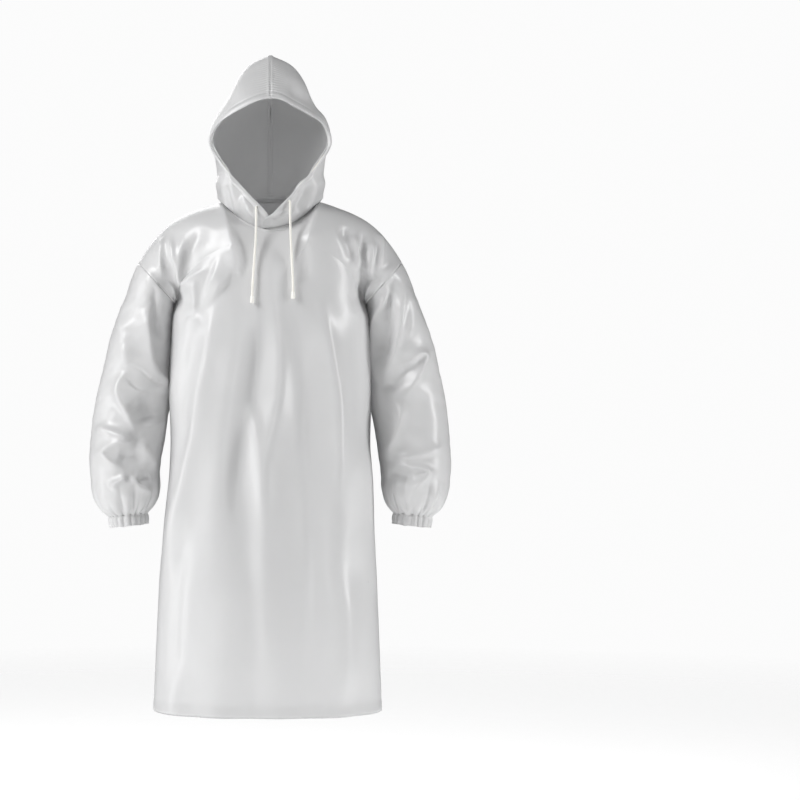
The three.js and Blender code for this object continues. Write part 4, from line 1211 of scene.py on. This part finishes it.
def hood_tape():
    halves = (hoods["left"], hoods["right"])
    rows = [across_seam(halves, under_top(u), TAPE_POINTS) for u in np.linspace(0.12, 0.94, 60)]
    rows += [across_seam(halves, under_edge(v, True), TAPE_POINTS) for v in np.linspace(0.93, 0.03, 110)]
    hood_blend(strip("hood_tape", rows, None, ["hood_seam_tape"]))


def inner_drawstring():
    """The drawstring in its casing, from one buttonhole over the brow to the other."""
    halves = []
    for side in SIDES:
        grid = hoods[side]
        vs = np.linspace(exit_uv(side)[1], 0.992, 80)
        halves.append([grid.sample(in_casing(grid, v, DRAWSTRING_INSET), v, DRAWSTRING_DEPTH) for v in vs])
    line = even(spline(halves[0][::2] + halves[1][::-1][::2], 6), 1.2)
    piece = closed_tube("drawstring_inside", tube_points(line, CORD_DIAMETER / 2, 20, braid))
    hood_blend(finish_piece(piece, CORD, None, ["drawstring"]))


for side in SIDES:
    hood_pieces(side)
hood_tape()
inner_drawstring()


# --- stitching


def stitches(name, line, body=None, around=6):
    """A row of short stitches along a line on the surface."""
    total = travelled(line)[-1]
    points, faces = [], []
    turn = np.linspace(0, TURN, around, endpoint=False)[:, None]
    for start in np.arange(STITCH_PITCH, total - STITCH_PITCH, STITCH_PITCH):
        span = along(line, (start + np.linspace(0, STITCH_LENGTH, 5)) / total)
        direction = unit(span[-1] - span[0])
        side = unit(np.cross(direction, [0.3, 0.2, 1.0]))
        ring = side * np.cos(turn) + np.cross(direction, side) * np.sin(turn)
        base = len(points)
        for middle, width in zip(span, (0.25, 0.9, 1, 0.9, 0.25)):
            points.extend(middle + STITCH_RADIUS * width * ring)
        faces += [tuple(base + i for i in face) for face in grid_faces(5, around + 1, closed=True)]
        faces.append(tuple(base + s for s in reversed(range(around))))
        faces.append(tuple(base + 4 * around + s for s in range(around)))
    return finish_piece(make_mesh(name, np.array(points), faces), THREAD, body)


def hem_line(grid):
    v = np.interp(HEM_TURN - 2, grid.from_edge("bottom")[:, 70], grid.vs)
    return grid.sample(np.linspace(-0.995, 0.995, 400), v, 0.55)


stitches("front_hem_stitches", hem_line(front), "torso")
stitches("back_hem_stitches", hem_line(back), "torso")
for side in SIDES:
    grid = hoods[side]
    vs = np.linspace(THROAT_V * 0.5, 0.995, 260)
    line = np.array([grid.sample(in_casing(grid, v, CASING_WIDTH), v, 0.1) for v in vs])
    hood_blend(stitches(f"{side}_casing_stitches", line))


# --- sheets


def piece_named(name):
    return bpy.data.objects[name]


def declare_sheet(trim=()):
    trim = [piece_named(name) for name in trim]


declare_sheet(["front_hem_stitches", "neck_tape"])
declare_sheet(["back_hem_stitches"])
for side in SIDES:
    trim = ["armhole_seam_tape", "underarm_seam_tape", "cuff_film", "elastic_band"]
    trim = [f"{side}_{name}" for name in trim]
    declare_sheet(trim)
    trim = [f"{side}_casing_stitches", f"{side}_buttonhole"]
    declare_sheet(trim)


# --- camera, stage and light


def place_object(name, data, location):
    placed = bpy.data.objects.new(name, data)
    placed.location = location
    bpy.context.scene.collection.objects.link(placed)
    return placed


def add_camera():
    """A level camera in front of the smock."""
    data = bpy.data.cameras.new("camera")
    data.lens = LENS
    data.sensor_width = SENSOR_WIDTH
    data.shift_x = CAMERA_SHIFT
    camera = place_object("camera", data, (0, -CAMERA_DISTANCE, CAMERA_HEIGHT))
    camera.rotation_euler = (math.pi / 2, 0, 0)
    bpy.context.scene.camera = camera


def add_floor():
    """A pale floor where the wearer would stand, fading out far away."""
    where = {"radius": FLOOR_RADIUS, "location": (0, 0, FLOOR_HEIGHT)}
    bpy.ops.mesh.primitive_circle_add(vertices=96, fill_type="NGON", **where)
    floor = bpy.context.object
    floor.name = "floor"
    material, tree = new_material("floor")
    face = node(tree, "BsdfPrincipled", {
        "Base Color": (0.93, 0.93, 0.93, 1),
        "Roughness": 0.9,
        "Emission Color": (1, 1, 1, 1),
        "Emission Strength": 0.62,
    })
    window = node(tree, "BsdfTransparent")
    place = node(tree, "TexCoord", output="Object")
    distance = node(tree, "VectorMath", {0: place}, "Value", operation="LENGTH")
    fade = node(tree, "MapRange", {"Value": distance, "From Min": 1.6, "From Max": 5})
    node(tree, "OutputMaterial", {"Surface": node(tree, "MixShader", {0: fade, 1: face, 2: window})})
    floor.data.materials.append(material)


def add_world():
    """A white background that lights the smock more softly than it looks."""
    world = bpy.data.worlds.new("studio")
    bpy.context.scene.world = world
    tree = clear_nodes(world)
    light = node(tree, "Background", {"Color": (0.99, 0.995, 1, 1), "Strength": 0.11})
    seen = node(tree, "Background", {"Color": (1, 1, 1, 1), "Strength": 0.97})
    first = node(tree, "LightPath", output="Is Camera Ray")
    node(tree, "OutputWorld", {"Surface": node(tree, "MixShader", {0: first, 1: light, 2: seen})})


def add_lamp(name, place, target_height, size, power):
    """An oblong lamp that faces the smock's middle at a height."""
    data = bpy.data.lights.new(name, "AREA")
    data.shape = "RECTANGLE"
    data.size, data.size_y = size
    data.energy = power
    lamp = place_object(name, data, place)
    direction = Vector((0, 0, target_height)) - Vector(place)
    lamp.rotation_euler = direction.to_track_quat("-Z", "Y").to_euler()


bpy.context.scene.view_settings.view_transform = "Standard"
add_camera()
add_floor()
add_world()
add_lamp("key", (-2.25, -1.5, 1.3), -0.35, (1.0, 2.2), 76)
add_lamp("side", (-2.6, -0.3, -0.4), -0.5, (0.5, 1.8), 12)
add_lamp("fill", (2.7, -0.8, 0.2), -0.4, (0.6, 2.2), 42)
add_lamp("front", (0.3, -3.4, 0.3), -0.5, (0.3, 2.4), 12)
add_lamp("behind", (-0.8, 2.8, 1.2), -0.3, (1.2, 1.6), 16)


# --- update the view layer

bpy.context.view_layer.update()
